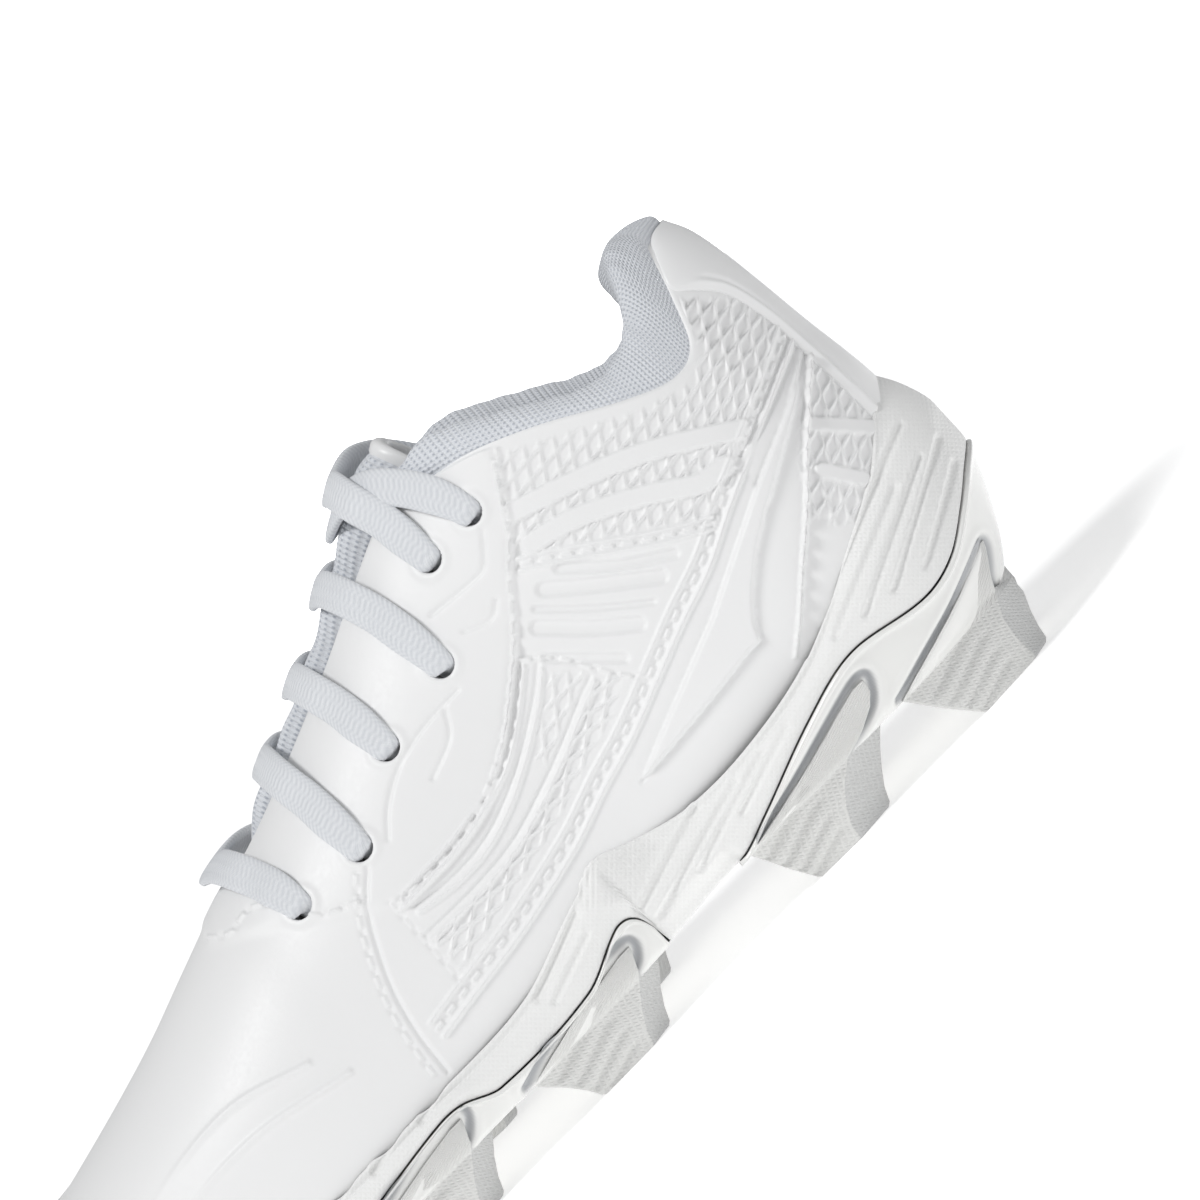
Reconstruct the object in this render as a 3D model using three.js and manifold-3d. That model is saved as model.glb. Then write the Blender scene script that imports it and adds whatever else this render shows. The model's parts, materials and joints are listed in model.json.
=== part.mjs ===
// A low moulded-stud field shoe, left foot, laced: studs, sole plates, midsole, insole, layered upper,
// padded collar, tongue and lace. Millimetres, +Z up, toe towards -X, outer (lateral) side towards -Y.
// The origin is under the middle of the shoe, on the ground that the stud tips stand on.
import * as THREE from "three";
import { mergeVertices } from "three/addons/utils/BufferGeometryUtils.js";
import Module from "manifold-3d";

// ---- Driving dimensions -------------------------------------------------------------------------
const upperLength = 262; // heel curve to toe tip along the foot
const heelWidth = 66;
const waistWidth = 65;
const ballWidth = 92;
const toeSwing = 8; // how far the toe tip sits towards the inner side
const collarHeight = 100.4; // top of the heel tab above the ground
const instepHeight = 100; // top of the foot at the front of the ankle opening
const toeHeight = 46.5; // top of the toe box
const studHeight = 12.2; // ground to the underside of the heel plate
const forefootStudHeight = 10.3;
const plateThickness = 2.5;
const flangeThickness = 1.8;
const strobelThickness = 1.5;
const socklinerThickness = 3.5;
const leather = 1.4; // upper shell
const overlay = 1.2; // pieces stitched on top of the shell
const stiffener = 1; // heel counter and toe puff
const liningThickness = 0.7;
const collarPad = 9; // foam thickness at the sides of the collar
const heelPad = 12.5; // foam thickness behind the heel
const collarRoll = 7; // how far the padded collar stands above the shell
const tongueFoam = 4;
const tongueSkin = 0.9;
const laceWidth = 6.6;
const laceThickness = 1.6;
const eyeletHole = 5.4;
const gap = 0.35; // clearance between pieces that touch
const seat = 0.55; // clearance between curved layers that lie on each other

const boxiness = 2.3; // exponent of the cross-section's curve, 2 is an ellipse
const tuckShare = 0.12; // widest level, as a share of the height of the section
const tuckIn = 0.09; // how much narrower the section is at its bottom edge
const leanReach = 110; // the heel's forward lean fades out over this length
const heelLine = 40; // height of the heel's rearmost bulge

// ---- Curves that shape the last -----------------------------------------------------------------
// A smooth curve through [at, value] points, held constant beyond its ends.
function through(points) {
  const last = points.length - 1;
  const slope = (k) => {
    const [before, after] = [points[Math.max(k - 1, 0)], points[Math.min(k + 1, last)]];
    return (after[1] - before[1]) / (after[0] - before[0]);
  };
  return (at) => {
    if (at <= points[0][0]) return points[0][1];
    if (at >= points[last][0]) return points[last][1];
    const i = points.findIndex((p) => p[0] > at) - 1;
    const span = points[i + 1][0] - points[i][0];
    const t = (at - points[i][0]) / span;
    return (
      points[i][1] * (1 + 2 * t) * (1 - t) ** 2 +
      points[i + 1][1] * t * t * (3 - 2 * t) +
      span * (slope(i) * t * (1 - t) ** 2 - slope(i + 1) * t * t * (1 - t))
    );
  };
}
const mix = THREE.MathUtils.lerp;
const long = upperLength / 262; // lengthways curves are drawn for a 262 mm upper
const along = (points) => through(points.map(([s, value]) => [s * long, value]));
const raised = (points, lift) => along(points.map(([s, value]) => [s, value + lift(value)]));

// a runs from 0 at the heel to 1 at the toe, and station(a) is its distance from the heel.
const station = (a) => (upperLength * (1 - Math.cos(Math.PI * a))) / 2;
const stationShare = (s) => Math.acos(1 - (2 * THREE.MathUtils.clamp(s, 0,
  upperLength)) / upperLength) / Math.PI;
const halfWidth = through([
  [0, 0], [0.1, 0.27 * heelWidth], [0.2, 0.455 * heelWidth], [0.3, heelWidth / 2], [0.4, waistWidth / 2],
  [0.5, 0.42 * ballWidth], [0.6, ballWidth / 2], [0.7, 0.49 * ballWidth], [0.8, 0.38 * ballWidth],
  [0.9, 0.2 * ballWidth], [1, 0],
]);
const centreLine = through([
  [0, 0], [0.2, 0], [0.35, -1], [0.5, -2], [0.6, -0.5], [0.7, 3], [0.8, 5.5], [0.9, 0.9 * toeSwing],
  [1, toeSwing],
]);
const soleLift = (z) => (z > 11.5 ? studHeight - 12.2 : forefootStudHeight - 10.3);
const wholeLift = () => studHeight - 12.2;
// Underside of the sole, the bottom edge of the upper, and the top of the foot.
const soleBase = raised(
  [[0, 15], [10, 13.8], [20, 12.6], [32, 12.2], [81, 12], [101, 10.6], [140, 10.3], [190, 10.6],
  [220, 12.8], [245, 16.6],
    [266, 21]],
  soleLift,
);
const featherline = raised(
  [[0, 27], [25, 26.5], [54, 25], [90, 21], [131, 18], [171, 17.3], [208, 18], [237, 21], [255, 25],
  [262, 27]],
  wholeLift,
);
const ridgeLine = along([
  [0, 28 + instepHeight], [25, 30 + instepHeight], [54, 22 + instepHeight], [75, 9 + instepHeight],
  [91, instepHeight], [110, instepHeight - 11], [131, instepHeight - 21], [146, instepHeight - 27],
  [155, instepHeight - 29.2], [169, instepHeight - 34.2], [185, 13.5 + toeHeight], [208, 7 + toeHeight],
  [237, toeHeight], [250, toeHeight - 2.4], [262, toeHeight - 5],
]);
const toeRound = 14; // the ridge rounds down into the toe tip over this length
const toeDrop = 9; // and comes down by this much
const ridge = (s) => {
  const into = THREE.MathUtils.clamp((s - upperLength + toeRound) / toeRound, 0, 1);
  return ridgeLine(s) - toeDrop * (1 - Math.sqrt(1 - into * into));
};
const heelBack = through([
  [20, 11], [30, 7.5], [heelLine, 5.5], [55, 5.3], [70, 7], [80, 8], [90, 9.2], [96, 10.5],
  [100.4, 12.6], [106, 15],
]);
const topline = along([
  [0, collarHeight], [4, collarHeight - 0.4], [7, collarHeight - 1.6], [12.6, collarHeight - 10],
  [18.8, collarHeight - 18.6], [26, collarHeight - 20.7], [36, collarHeight - 17.5],
  [50, collarHeight - 10.4],
  [60, collarHeight - 6], [68, collarHeight - 3.4], [84, collarHeight - 0.4],
]);
const midsoleRim = raised(
  [[0, 55.5], [6, 49.3], [15, 43.6], [31, 37], [48, 29.6], [67, 26], [82, 25.7], [93, 28.3], [101, 31],
  [107, 29],
    [126, 22.4], [150, 21.5], [180, 21.5], [208, 22.5], [237, 26], [255, 29.4], [262, 30.6]],
  wholeLift,
);
const plateLine = raised(
  [[0, 32.6], [8, 28], [17, 23.8], [25, 22.4], [41, 24.9], [55, 21.8], [73, 15.2], [81, 13], [101, 13.5],
  [105, 19.4],
    [118, 15.4], [140, 15], [150, 17.6], [175, 15.4], [200, 16.8], [225, 19], [245, 23], [262, 27]],
  wholeLift,
);

// ---- The last's surface -------------------------------------------------------------------------
// turn is 0 on the top ridge and 1 on the bottom edge. The side is inner for positive a and turn, outer
// when one of the two is negative.
const tuckTurn = 0.86; // the turn at the widest level
function heights(s) {
  const low = featherline(s);
  const top = ridge(s);
  return { low, top, wide: low + tuckShare * (top - low) };
}
function turnAt(s, z) {
  const { low, top, wide } = heights(s);
  if (z <= wide) return mix(1, tuckTurn, (z - low) / (wide - low));
  const up = Math.min((z - wide) / (top - wide), 1);
  return (tuckTurn * 2 * Math.acos(up ** (boxiness / 2))) / Math.PI;
}
// The turn at which the surface is a given distance y from the ridge.
function turnFromRidge(s, y) {
  const share = Math.min(y / halfWidth(stationShare(s)), 1);
  return (tuckTurn * 2 * Math.asin(share ** (boxiness / 2))) / Math.PI;
}
function lastPoint(a, turn) {
  const s = station(Math.abs(a));
  const { low, top, wide } = heights(s);
  const t = Math.abs(turn);
  const side = a < 0 !== turn < 0 ? -1 : 1;
  const angle = (Math.min(t / tuckTurn, 1) * Math.PI) / 2;
  const down = Math.max(t - tuckTurn, 0) / (1 - tuckTurn);
  const z = down > 0 ? mix(wide, low, down) : wide + (top - wide) * Math.cos(angle) ** (2 / boxiness);
  const share = Math.sin(angle) ** (2 / boxiness) - tuckIn * down * down;
  const lean = heelBack(z) * Math.max(1 - s / leanReach, 0) ** 2;
  return new THREE.Vector3(-s - lean, centreLine(Math.abs(a)) + side * halfWidth(Math.abs(a)) * share, z);
}
// The last's outward normal, from small steps along the surface. At the heel and toe lines it has no
// sideways part.
function lastNormal(a, turn) {
  const step = 1e-4;
  const side = a < 0 !== turn < 0 ? -1 : 1;
  const [along0, along1] = [Math.max(Math.abs(a) - step, 0), Math.min(Math.abs(a) + step, 1)];
  const atEnd = along0 === 0 || along1 === 1;
  const turnStep = atEnd ? 0.03 : step;
  const [turn0, turn1] = [Math.max(Math.abs(turn) - turnStep, 0), Math.min(Math.abs(turn) + turnStep, 1)];
  const aroundStep = lastPoint(Math.abs(a), turn1 * side).sub(lastPoint(Math.abs(a), turn0 * side));
  if (atEnd) {
    const facing = along0 === 0 ? -1 : 1;
    return new THREE.Vector3(facing * aroundStep.z, 0, -facing * aroundStep.x).normalize();
  }
  const t = Math.max(Math.abs(turn), 1e-9) * side;
  const alongStep = lastPoint(along1, t).sub(lastPoint(along0, t));
  const normal = aroundStep.cross(alongStep).multiplyScalar(side);
  if (turn0 === 0) normal.y = 0;
  return normal.normalize();
}
const onSection = (a, z) => turnAt(station(Math.abs(a)), z);
const offsetPoint = (a, turn, out) => lastPoint(a, turn).addScaledVector(lastNormal(a, turn), out);

// The plan outline of the last at its widest, moved outward by out, at height z.
function outlinePoint(a, out, z) {
  const plan = (b) => {
    const s = station(Math.abs(b));
    const lean = heelBack(heelLine) * Math.max(1 - s / leanReach, 0) ** 2;
    return [-s - lean, centreLine(Math.abs(b)) + Math.sign(b) * halfWidth(Math.abs(b))];
  };
  const step = 1e-3;
  const atTip = Math.abs(a) > 1 - step;
  const [from, to] = [plan(Math.max(a - step, -1)), plan(Math.min(a + step, 1))];
  const direction = new THREE.Vector2(to[0] - from[0], to[1] - from[1]).normalize();
  const outward = atTip ? new THREE.Vector2(-1, 0) : new THREE.Vector2(direction.y, -direction.x);
  const [x, y] = plan(a);
  return new THREE.Vector3(x + outward.x * out, y + outward.y * out, z);
}

// ---- Solids -------------------------------------------------------------------------------------
// A closed mesh from points and triangles, turned so that its faces point outwards.
function solid(points, triangles) {
  const geometry = new THREE.BufferGeometry().setFromPoints(points);
  const volume = triangles.reduce(
    (sum, [i, j, k]) => sum + points[i].dot(new THREE.Vector3().crossVectors(points[j], points[k])), 0);
  const facing = volume > 0 ? triangles : triangles.map(([i, j, k]) => [i, k, j]);
  geometry.setIndex(facing.flat());
  const merged = mergeVertices(geometry, 1e-4);
  merged.computeVertexNormals();
  return merged;
}
const quad = (a, b, c, d) => [[a, b, c], [a, c, d]];
const steps = (count, from = 0, to = 1) => Array.from({ length: count + 1 },
  (_, i) => mix(from, to, i / count));

// A sheet of the last's surface between two depths. at(u, v) gives the sheet's [a, turn] for u and v from
// 0 to 1.
function sheet(at, countU, countV, inner, outer) {
  const depth = (value, u, v) => (typeof value === "function" ? value(u, v) : value);
  const points = [];
  for (const layer of [outer, inner])
    for (const u of steps(countU))
      for (const v of steps(countV)) {
        const [a, turn] = at(u, v);
        points.push(offsetPoint(a, turn, depth(layer, u, v)));
      }
  const id = (layer, i, j) => layer * (countU + 1) * (countV + 1) + i * (countV + 1) + j;
  const triangles = [];
  for (let i = 0; i < countU; i++)
    for (let j = 0; j < countV; j++) {
      triangles.push(...quad(id(0, i, j), id(0, i + 1, j), id(0, i + 1, j + 1), id(0, i, j + 1)));
      triangles.push(...quad(id(1, i, j), id(1, i, j + 1), id(1, i + 1, j + 1), id(1, i + 1, j)));
    }
  for (let i = 0; i < countU; i++) {
    triangles.push(...quad(id(0, i, 0), id(1, i, 0), id(1, i + 1, 0), id(0, i + 1, 0)));
    triangles.push(...quad(id(0, i, countV), id(0, i + 1, countV), id(1, i + 1, countV),
      id(1, i, countV)));
  }
  for (let j = 0; j < countV; j++) {
    triangles.push(...quad(id(0, 0, j), id(0, 0, j + 1), id(1, 0, j + 1), id(1, 0, j)));
    const [a] = at(1, j / countV);
    if (a < 1) // a sheet that reaches the toe tip closes on its own other side there
      triangles.push(...quad(id(0, countU, j), id(1, countU, j), id(1, countU, j + 1),
        id(0, countU, j + 1)));
  }
  return solid(points, triangles);
}

// A solid through rings of points, each ring round its own middle, closed by a fan at both ends.
function loft(rings) {
  const size = rings[0].length;
  const points = rings.flat();
  const triangles = [];
  for (let i = 0; i + 1 < rings.length; i++)
    for (let j = 0; j < size; j++) {
      const k = (j + 1) % size;
      triangles.push(...quad(i * size + j, i * size + k, (i + 1) * size + k, (i + 1) * size + j));
    }
  for (const [ring, start, turned] of [[rings[0], 0, true],
    [rings.at(-1), (rings.length - 1) * size, false]]) {
    points.push(ring.reduce((sum, p) => sum.add(p), new THREE.Vector3()).divideScalar(size));
    for (let j = 0; j < size; j++) {
      const [p, q] = [start + j, start + ((j + 1) % size)];
      triangles.push(turned ? [points.length - 1, q, p] : [points.length - 1, p, q]);
    }
  }
  return solid(points, triangles);
}

// A tray: one profile for each place round the shoe's edge, from the underside's middle line, out round
// the rim and back to the upper face's middle line. The outer and inner sides meet on those two lines.
function tray(places, profileAt, closed) {
  const profiles = places.map(profileAt);
  const size = profiles[0].length;
  const triangles = [];
  for (let i = 0; i + 1 < places.length; i++)
    for (let j = 0; j + 1 < size; j++)
      triangles.push(...quad(i * size + j, (i + 1) * size + j, (i + 1) * size + j + 1, i * size + j + 1));
  if (!closed)
    for (const [start, turned] of [[0, false], [(places.length - 1) * size, true]]) {
      // Each end is half of the cut face: strips between the profile's underside and its upper face.
      for (let j = 0; j < Math.floor((size - 1) / 2); j++) {
        const strip = [start + j, start + j + 1, start + size - 2 - j, start + size - 1 - j];
        const faces = strip[1] === strip[2] ? [[strip[0], strip[1], strip[3]]] : quad(...strip);
        triangles.push(...(turned ? faces.map(([p, q, r]) => [p, r, q]) : faces));
      }
    }
  return solid(profiles.flat(), triangles);
}

// ---- Joining and cutting ------------------------------------------------------------------------
const wasm = await Module();
wasm.setup();
function manifoldOf(geometry) {
  const plain = geometry.clone();
  plain.deleteAttribute("normal");
  plain.deleteAttribute("uv");
  const merged = mergeVertices(plain, 1e-4);
  return new wasm.Manifold(
    new wasm.Mesh({
      numProp: 3,
      vertProperties: new Float32Array(merged.attributes.position.array),
      triVerts: new Uint32Array(merged.index.array),
    }),
  );
}
function geometryOf(manifold) {
  const { vertProperties, triVerts } = manifold.getMesh();
  const geometry = new THREE.BufferGeometry();
  geometry.setAttribute("position", new THREE.BufferAttribute(vertProperties, 3));
  geometry.setIndex(new THREE.BufferAttribute(triVerts, 1));
  geometry.computeVertexNormals();
  return geometry;
}
const cut = (geometry, tools) =>
  geometryOf(tools.reduce((body, tool) => body.subtract(manifoldOf(tool)), manifoldOf(geometry)));

// ---- The shoe -----------------------------------------------------------------------------------
const shoe = new THREE.Group();
const finishes = {
  upper: { color: 0xf1f1f1, roughness: 0.45 },
  mesh: { color: 0xd5d8de, roughness: 0.95 },
  lace: { color: 0xd9dce0, roughness: 0.9 },
  foam: { color: 0xe6e3d8, roughness: 1 },
  board: { color: 0xd8d2c4, roughness: 1 },
  midsole: { color: 0xeeeeec, roughness: 0.7 },
  plate: { color: 0xe8e8e6, roughness: 0.2 },
  stud: { color: 0xd8d8d6, roughness: 0.6 },
  stiffener: { color: 0xc9c6bc, roughness: 0.8 },
};
const materials = Object.fromEntries(
  Object.entries(finishes).map(([name, finish]) => [name,
    new THREE.MeshStandardMaterial({ ...finish, metalness: 0 })]),
);
function add(name, geometry, finish, parent = shoe) {
  const mesh = new THREE.Mesh(geometry, materials[finish]);
  mesh.name = name;
  parent.add(mesh);
  return mesh;
}
const sides = { lateral: -1, medial: 1 };

// Lacing: each row's eyelet as [station, height], and where its strand crosses the ridge.
const eyelets = [[72.6, 88.7], [83.4, 87.8], [95, 73.2], [112, 69.5], [127.7, 60.3], [142.4, 60.4]].map(
  ([s, z]) => [s * long, z + instepHeight - 100],
);
const eyeletTurn = ([s, z]) => turnAt(s, z);

// Half the width of the throat between the two facings, from the ankle opening to its rounded front end.
const throatStart = 62 * long;
const throatEnd = 157 * long;
const throatHalf = along([[84, 15], [91, 13.5], [110, 12], [131, 10.6], [146, 8.4], [153, 5.6],
  [157, 0]]);
// The top edge of the shell: the ankle opening's line, then the throat's.
function facingEdge(s) {
  const opening = s < 84 * long ? turnAt(s, topline(s)) : 0;
  return s < throatStart ? opening : Math.max(opening, turnFromRidge(s, throatHalf(s)));
}

function eyeletTools() {
  return Object.values(sides).flatMap((side) =>
    eyelets.map((place) => {
      const [a, turn] = [side * stationShare(place[0]), eyeletTurn(place)];
      const tool = new THREE.CylinderGeometry(eyeletHole / 2, eyeletHole / 2, 18, 6);
      tool.applyQuaternion(new THREE.Quaternion().setFromUnitVectors(new THREE.Vector3(0, 1, 0),
        lastNormal(a, turn)));
      return tool.translate(...lastPoint(a, turn).toArray());
    }),
  );
}
const holes = eyeletTools();

// Outer shell: two quarters that meet behind the heel, and the vamp over the toes.
const vampSeam = 131 * long;
const liningStart = 79 * long;
function addQuarters() {
  for (const [name, side] of Object.entries(sides)) {
    const at = (u, v) => {
      const a = mix(0.006, stationShare(vampSeam), u);
      return [side * a, mix(facingEdge(station(a)), 1, v)];
    };
    add(`quarter_${name}`, cut(sheet(at, 24, 11, -leather, 0), holes), "upper");
  }
}
// The station at which the throat's edge has a given turn, found by halving between from and the throat's
// end.
function throatStation(turn, from) {
  let [near, far] = [from, throatEnd];
  for (let i = 0; i < 40; i++) {
    const middle = (near + far) / 2;
    if (turnFromRidge(middle, throatHalf(middle)) > turn) near = middle;
    else far = middle;
  }
  return far;
}
function addVamp() {
  const region = (from, margin) => (u, v) => {
    const turn = mix(-1, 1, v) * margin;
    return [mix(stationShare(throatStation(Math.abs(turn), from) + 0.5), 1, u), turn];
  };
  add("vamp", cut(sheet(region(vampSeam, 1), 12, 18, -leather, 0), holes), "upper");
  // The lining dips under the toe puff.
  const at = region(vampSeam, 0.98);
  const depth = (u, v) => {
    const dip = THREE.MathUtils.smoothstep(station(at(u, v)[0]), 200 * long, 222 * long);
    return -leather - seat - (stiffener + 2 * seat) * dip;
  };
  const lining = sheet(at, 12, 18, (u, v) => depth(u, v) - liningThickness, depth);
  add("vamp_lining", cut(lining, holes), "mesh");
}
function addQuarterLinings() {
  for (const [name, side] of Object.entries(sides)) {
    const at = (u, v) => {
      const a = mix(stationShare(liningStart), stationShare(vampSeam), u);
      return [side * a, mix(facingEdge(station(a)), 0.985, v)];
    };
    const lining = sheet(at, 7, 11, -leather - seat - liningThickness, -leather - seat);
    add(`quarter_lining_${name}`, cut(lining, holes), "mesh");
  }
}

// Overlays stitched on the shell: the eyelet facings, the heel tab and the toe cap.
const facingSeam = raised(
  [[62.5, 92], [66, 87], [70, 81], [75, 76], [80, 70], [90, 61], [100, 54], [110, 50], [129, 48.5],
  [138, 54],
    [148, 61], [158, 66.5]],
  () => instepHeight - 100,
);
function addFacings() {
  for (const [name, side] of Object.entries(sides)) {
    const at = (u, v) => {
      const a = mix(stationShare(62.6 * long), stationShare(throatEnd - 4), u);
      const s = station(a);
      return [side * a, mix(facingEdge(s), turnAt(s, Math.min(facingSeam(s), topline(s) - 1)), v)];
    };
    add(`facing_${name}`, cut(sheet(at, 16, 5, 1.2 * seat, 1.2 * seat + overlay), holes), "upper");
  }
}
// Half width of the heel tab round the heel, as a share of the length, from its foot to its top.
const tabReach = through([
  [0, 0.085], [0.2, 0.079], [0.6, 0.073], [0.72, 0.096], [0.82, 0.142], [0.88, 0.136], [0.94, 0.118],
  [1, 0.08],
]);
function addHeelTab() {
  const at = (u, v) => {
    const a = tabReach(1 - v) * mix(-1, 1, u);
    const s = station(Math.abs(a));
    return [a, turnAt(s, mix(topline(s) - 0.4, midsoleRim(s) + 0.6, v))];
  };
  add("heel_tab", sheet(at, 10, 12, 1.3 * seat, 1.3 * seat + overlay), "upper");
}
function addToeCap() {
  const at = (u, v) => {
    const across = mix(-1, 1, v);
    const a = mix(stationShare((218 - 26 * Math.abs(across) ** 3) * long), 1, u);
    return [a, across * onSection(a, midsoleRim(station(a)) + 0.8)];
  };
  add("toe_cap", sheet(at, 8, 18, seat, seat + overlay), "upper");
}

// Stiffeners between the shell and the lining.
function addStiffeners() {
  const counterFront = stationShare(58 * long);
  const counter = (u, v) => {
    const a = mix(-counterFront, counterFront, u);
    const s = station(Math.abs(a));
    return [a, turnAt(s, mix(mix(66, 40, s / (58 * long)), featherline(s) + 1, v))];
  };
  add("heel_counter", sheet(counter, 24, 5, -leather - 2 * seat - stiffener, -leather - 2 * seat),
    "stiffener");
  const puff = (u, v) => [mix(stationShare(228 * long), 1, u), mix(-0.95, 0.95, v)];
  add("toe_puff", sheet(puff, 6, 18, -leather - 1.3 * seat - stiffener, -leather - 1.3 * seat),
    "stiffener");
}

// Padded collar: foam along the top edge from one facing round the heel to the other, and the knitted
// lining that rolls over it and runs down to the insole.
const collarFront = 77;
const padThickness = (a) => mix(heelPad, collarPad,
  THREE.MathUtils.smoothstep(station(Math.abs(a)), 5, 26));
// A point of the collar's cross-section: depth inward from the shell's face, and height above the top
// edge.
function collarPoint(a, depth, above) {
  const s = station(Math.abs(a));
  const edge = turnAt(s, topline(s) - 3);
  const normal = lastNormal(a, edge).setZ(0).normalize();
  return lastPoint(a, turnAt(s, topline(s) + Math.min(above, -3))).add(
    normal.multiplyScalar(-depth)).setZ(topline(s) + above);
}
function addCollar() {
  const end = stationShare(collarFront * long);
  const round = steps(24, -end, end);
  // The foam is shallower in front of the ankle, above the top eyelet.
  const reach = (a) => mix(1, 0.24,
    THREE.MathUtils.smoothstep(station(Math.abs(a)), 48 * long, 68 * long));
  const taper = (a) => Math.min(1, (collarFront * long - station(Math.abs(a))) / 30 + 0.25);
  // Foam profile: outer foot, outer shoulder, crown, inner shoulder, belly, inner foot.
  const foam = (a) => {
    const pad = padThickness(a) * taper(a);
    const lift = collarRoll - 1.2;
    const base = leather + stiffener + 3 * seat;
    return [[base, -26 * reach(a)], [base, -10 * reach(a)], [base, -2.5 * reach(a)], [base - 0.2, 1],
      [base + 0.22 * pad, lift * 0.8],
      [base + 0.5 * pad, lift], [base + 0.8 * pad, lift * 0.72], [base + pad, -reach(a)],
      [base + 0.9 * pad, -9 * reach(a)],
      [base + 0.45 * pad, -18 * reach(a)]].map(([depth, above]) => collarPoint(a, depth, above));
  };
  add("collar_foam", loft(round.map(foam)), "foam");
  // Lining profile: over the foam's crown and down its inner face to the bottom edge, then back at its
  // thickness.
  const skin = liningThickness + gap;
  const lining = (a) => {
    const s = station(Math.abs(a));
    const pad = padThickness(a) * taper(a);
    const lift = collarRoll - 1.2;
    const base = leather + stiffener + 3 * seat;
    const low = featherline(s) - topline(s) + 1.2;
    const under = [[base - 0.7 - gap, 1.0], [base + 0.22 * pad - 0.5, lift * 0.8 + 0.5],
      [base + 0.5 * pad, lift + gap],
      [base + 0.8 * pad + 0.3, lift * 0.72 + 0.35], [base + pad + gap, -reach(a)],
      [base + 0.9 * pad + gap, -9 * reach(a)],
      [base + 0.45 * pad + gap, -18.5 * reach(a)],
      ...[0, 0.2, 0.4, 0.65, 1].map((share) => [base + gap, mix(-27 * reach(a) - 1, low, share)])];
    const over = [[-skin, 0.3], [-skin * 0.7, skin * 0.8], [0, skin], [skin * 0.6, skin * 0.7],
      [skin, 0.2],
      [skin, 0]];
    const face = under.map(([depth, above], i) => [depth + over[Math.min(i, 5)][0],
      above + over[Math.min(i, 5)][1]]);
    return [...under, ...face.reverse()].map(([depth, above]) => collarPoint(a, depth, above));
  };
  const rings = round.map(lining);
  const size = rings[0].length;
  const triangles = [];
  for (let i = 0; i + 1 < rings.length; i++)
    for (let j = 0; j < size; j++) {
      const k = (j + 1) % size;
      triangles.push(...quad(i * size + j, i * size + k, (i + 1) * size + k, (i + 1) * size + j));
    }
  for (const [start, turned] of [[0, true], [(rings.length - 1) * size, false]])
    for (let j = 0; j + 1 < size / 2; j++) {
      const faces = quad(start + j, start + j + 1, start + size - 2 - j, start + size - 1 - j);
      triangles.push(...(turned ? faces.map(([p, q, r]) => [p, r, q]) : faces));
    }
  add("collar_lining", cut(solid(rings.flat(), triangles), holes), "mesh");
}

// Sole pieces are trays: offsets are outward from the last's plan outline, and heights are taken where a
// point is.
const placed = (point, height) => point.setZ(height(-point.x));
const floorPoint = (a, out, height) => placed(outlinePoint(a, out, 0), height);
// The middle line that both halves of a tray meet on: straight across, except round the heel and the toe.
const spineReach = [34 * long, upperLength - 44 * long];
function spinePoint(a, height) {
  const s = station(Math.abs(a));
  const [heelTurn, toeTurn] = spineReach.map(stationShare);
  const at =
    s < spineReach[0] ? mix(18 * long, spineReach[0], Math.abs(a) / heelTurn)
    : s > spineReach[1] ? mix(spineReach[1], upperLength - 20 * long,
      (Math.abs(a) - toeTurn) / (1 - toeTurn)) : s;
  return new THREE.Vector3(-at, centreLine(stationShare(at)), height(at));
}

// Insole: the board that the upper's bottom edge is sewn to, and the foam sockliner that lies on it.
function addInsole() {
  const slab = (inset, low, high) => (a) => [
    spinePoint(a, low), floorPoint(a, -inset - 3, low), floorPoint(a, -inset, low),
    floorPoint(a, -inset, high), floorPoint(a, -inset - 3, high), spinePoint(a, high),
  ];
  const boardTop = (s) => featherline(s) - gap;
  const linerLow = (s) => featherline(s) + gap;
  const around = steps(40, -1, 1);
  add("strobel_board", tray(around, slab(4, (s) => boardTop(s) - strobelThickness, boardTop), true),
    "board");
  add("sockliner", tray(around, slab(8.8, linerLow, (s) => linerLow(s) + socklinerThickness), true),
    "foam");
}

// bottom edge
const edgeOut = through([[0, -6], [0.15, -3.2], [0.3, -1.2], [0.75, -1], [0.9, -3], [1, -6]]);
// top edge of the plates
const lineOut = through([[0, 5.1], [0.15, 4.4], [0.3, 3.4], [0.75, 3.2], [1, 4.6]]);
const rimOut = through([[0, 1.9], [0.3, 1.7], [1, 1.9]]); // top edge of the midsole's side wall
const heelPlateEnd = 81 * long;
const forefootPlateStart = 101 * long;
// The places round the edge where the sole's pieces are drawn: close together where the plates' line
// steps.
const archEnds = [heelPlateEnd + 0.2, heelPlateEnd + 1.6, heelPlateEnd + 3, forefootPlateStart - 3,
  forefootPlateStart - 1.6, forefootPlateStart - 0.2];
const lineSteps = [57, 63, 68, 74, 102, 103.5, 105, 107.5, 111, 118, 125].map((s) => s * long);
const soleHalf = [
  ...steps(24), ...[...archEnds, heelPlateEnd, forefootPlateStart, ...lineSteps].map(stationShare),
].sort((p, q) => p - q);
const between = (from, to) => soleHalf.filter((a) => a >= from && a <= to);
const mirrored = (half) => half.map((a) => -a).reverse();
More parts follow.
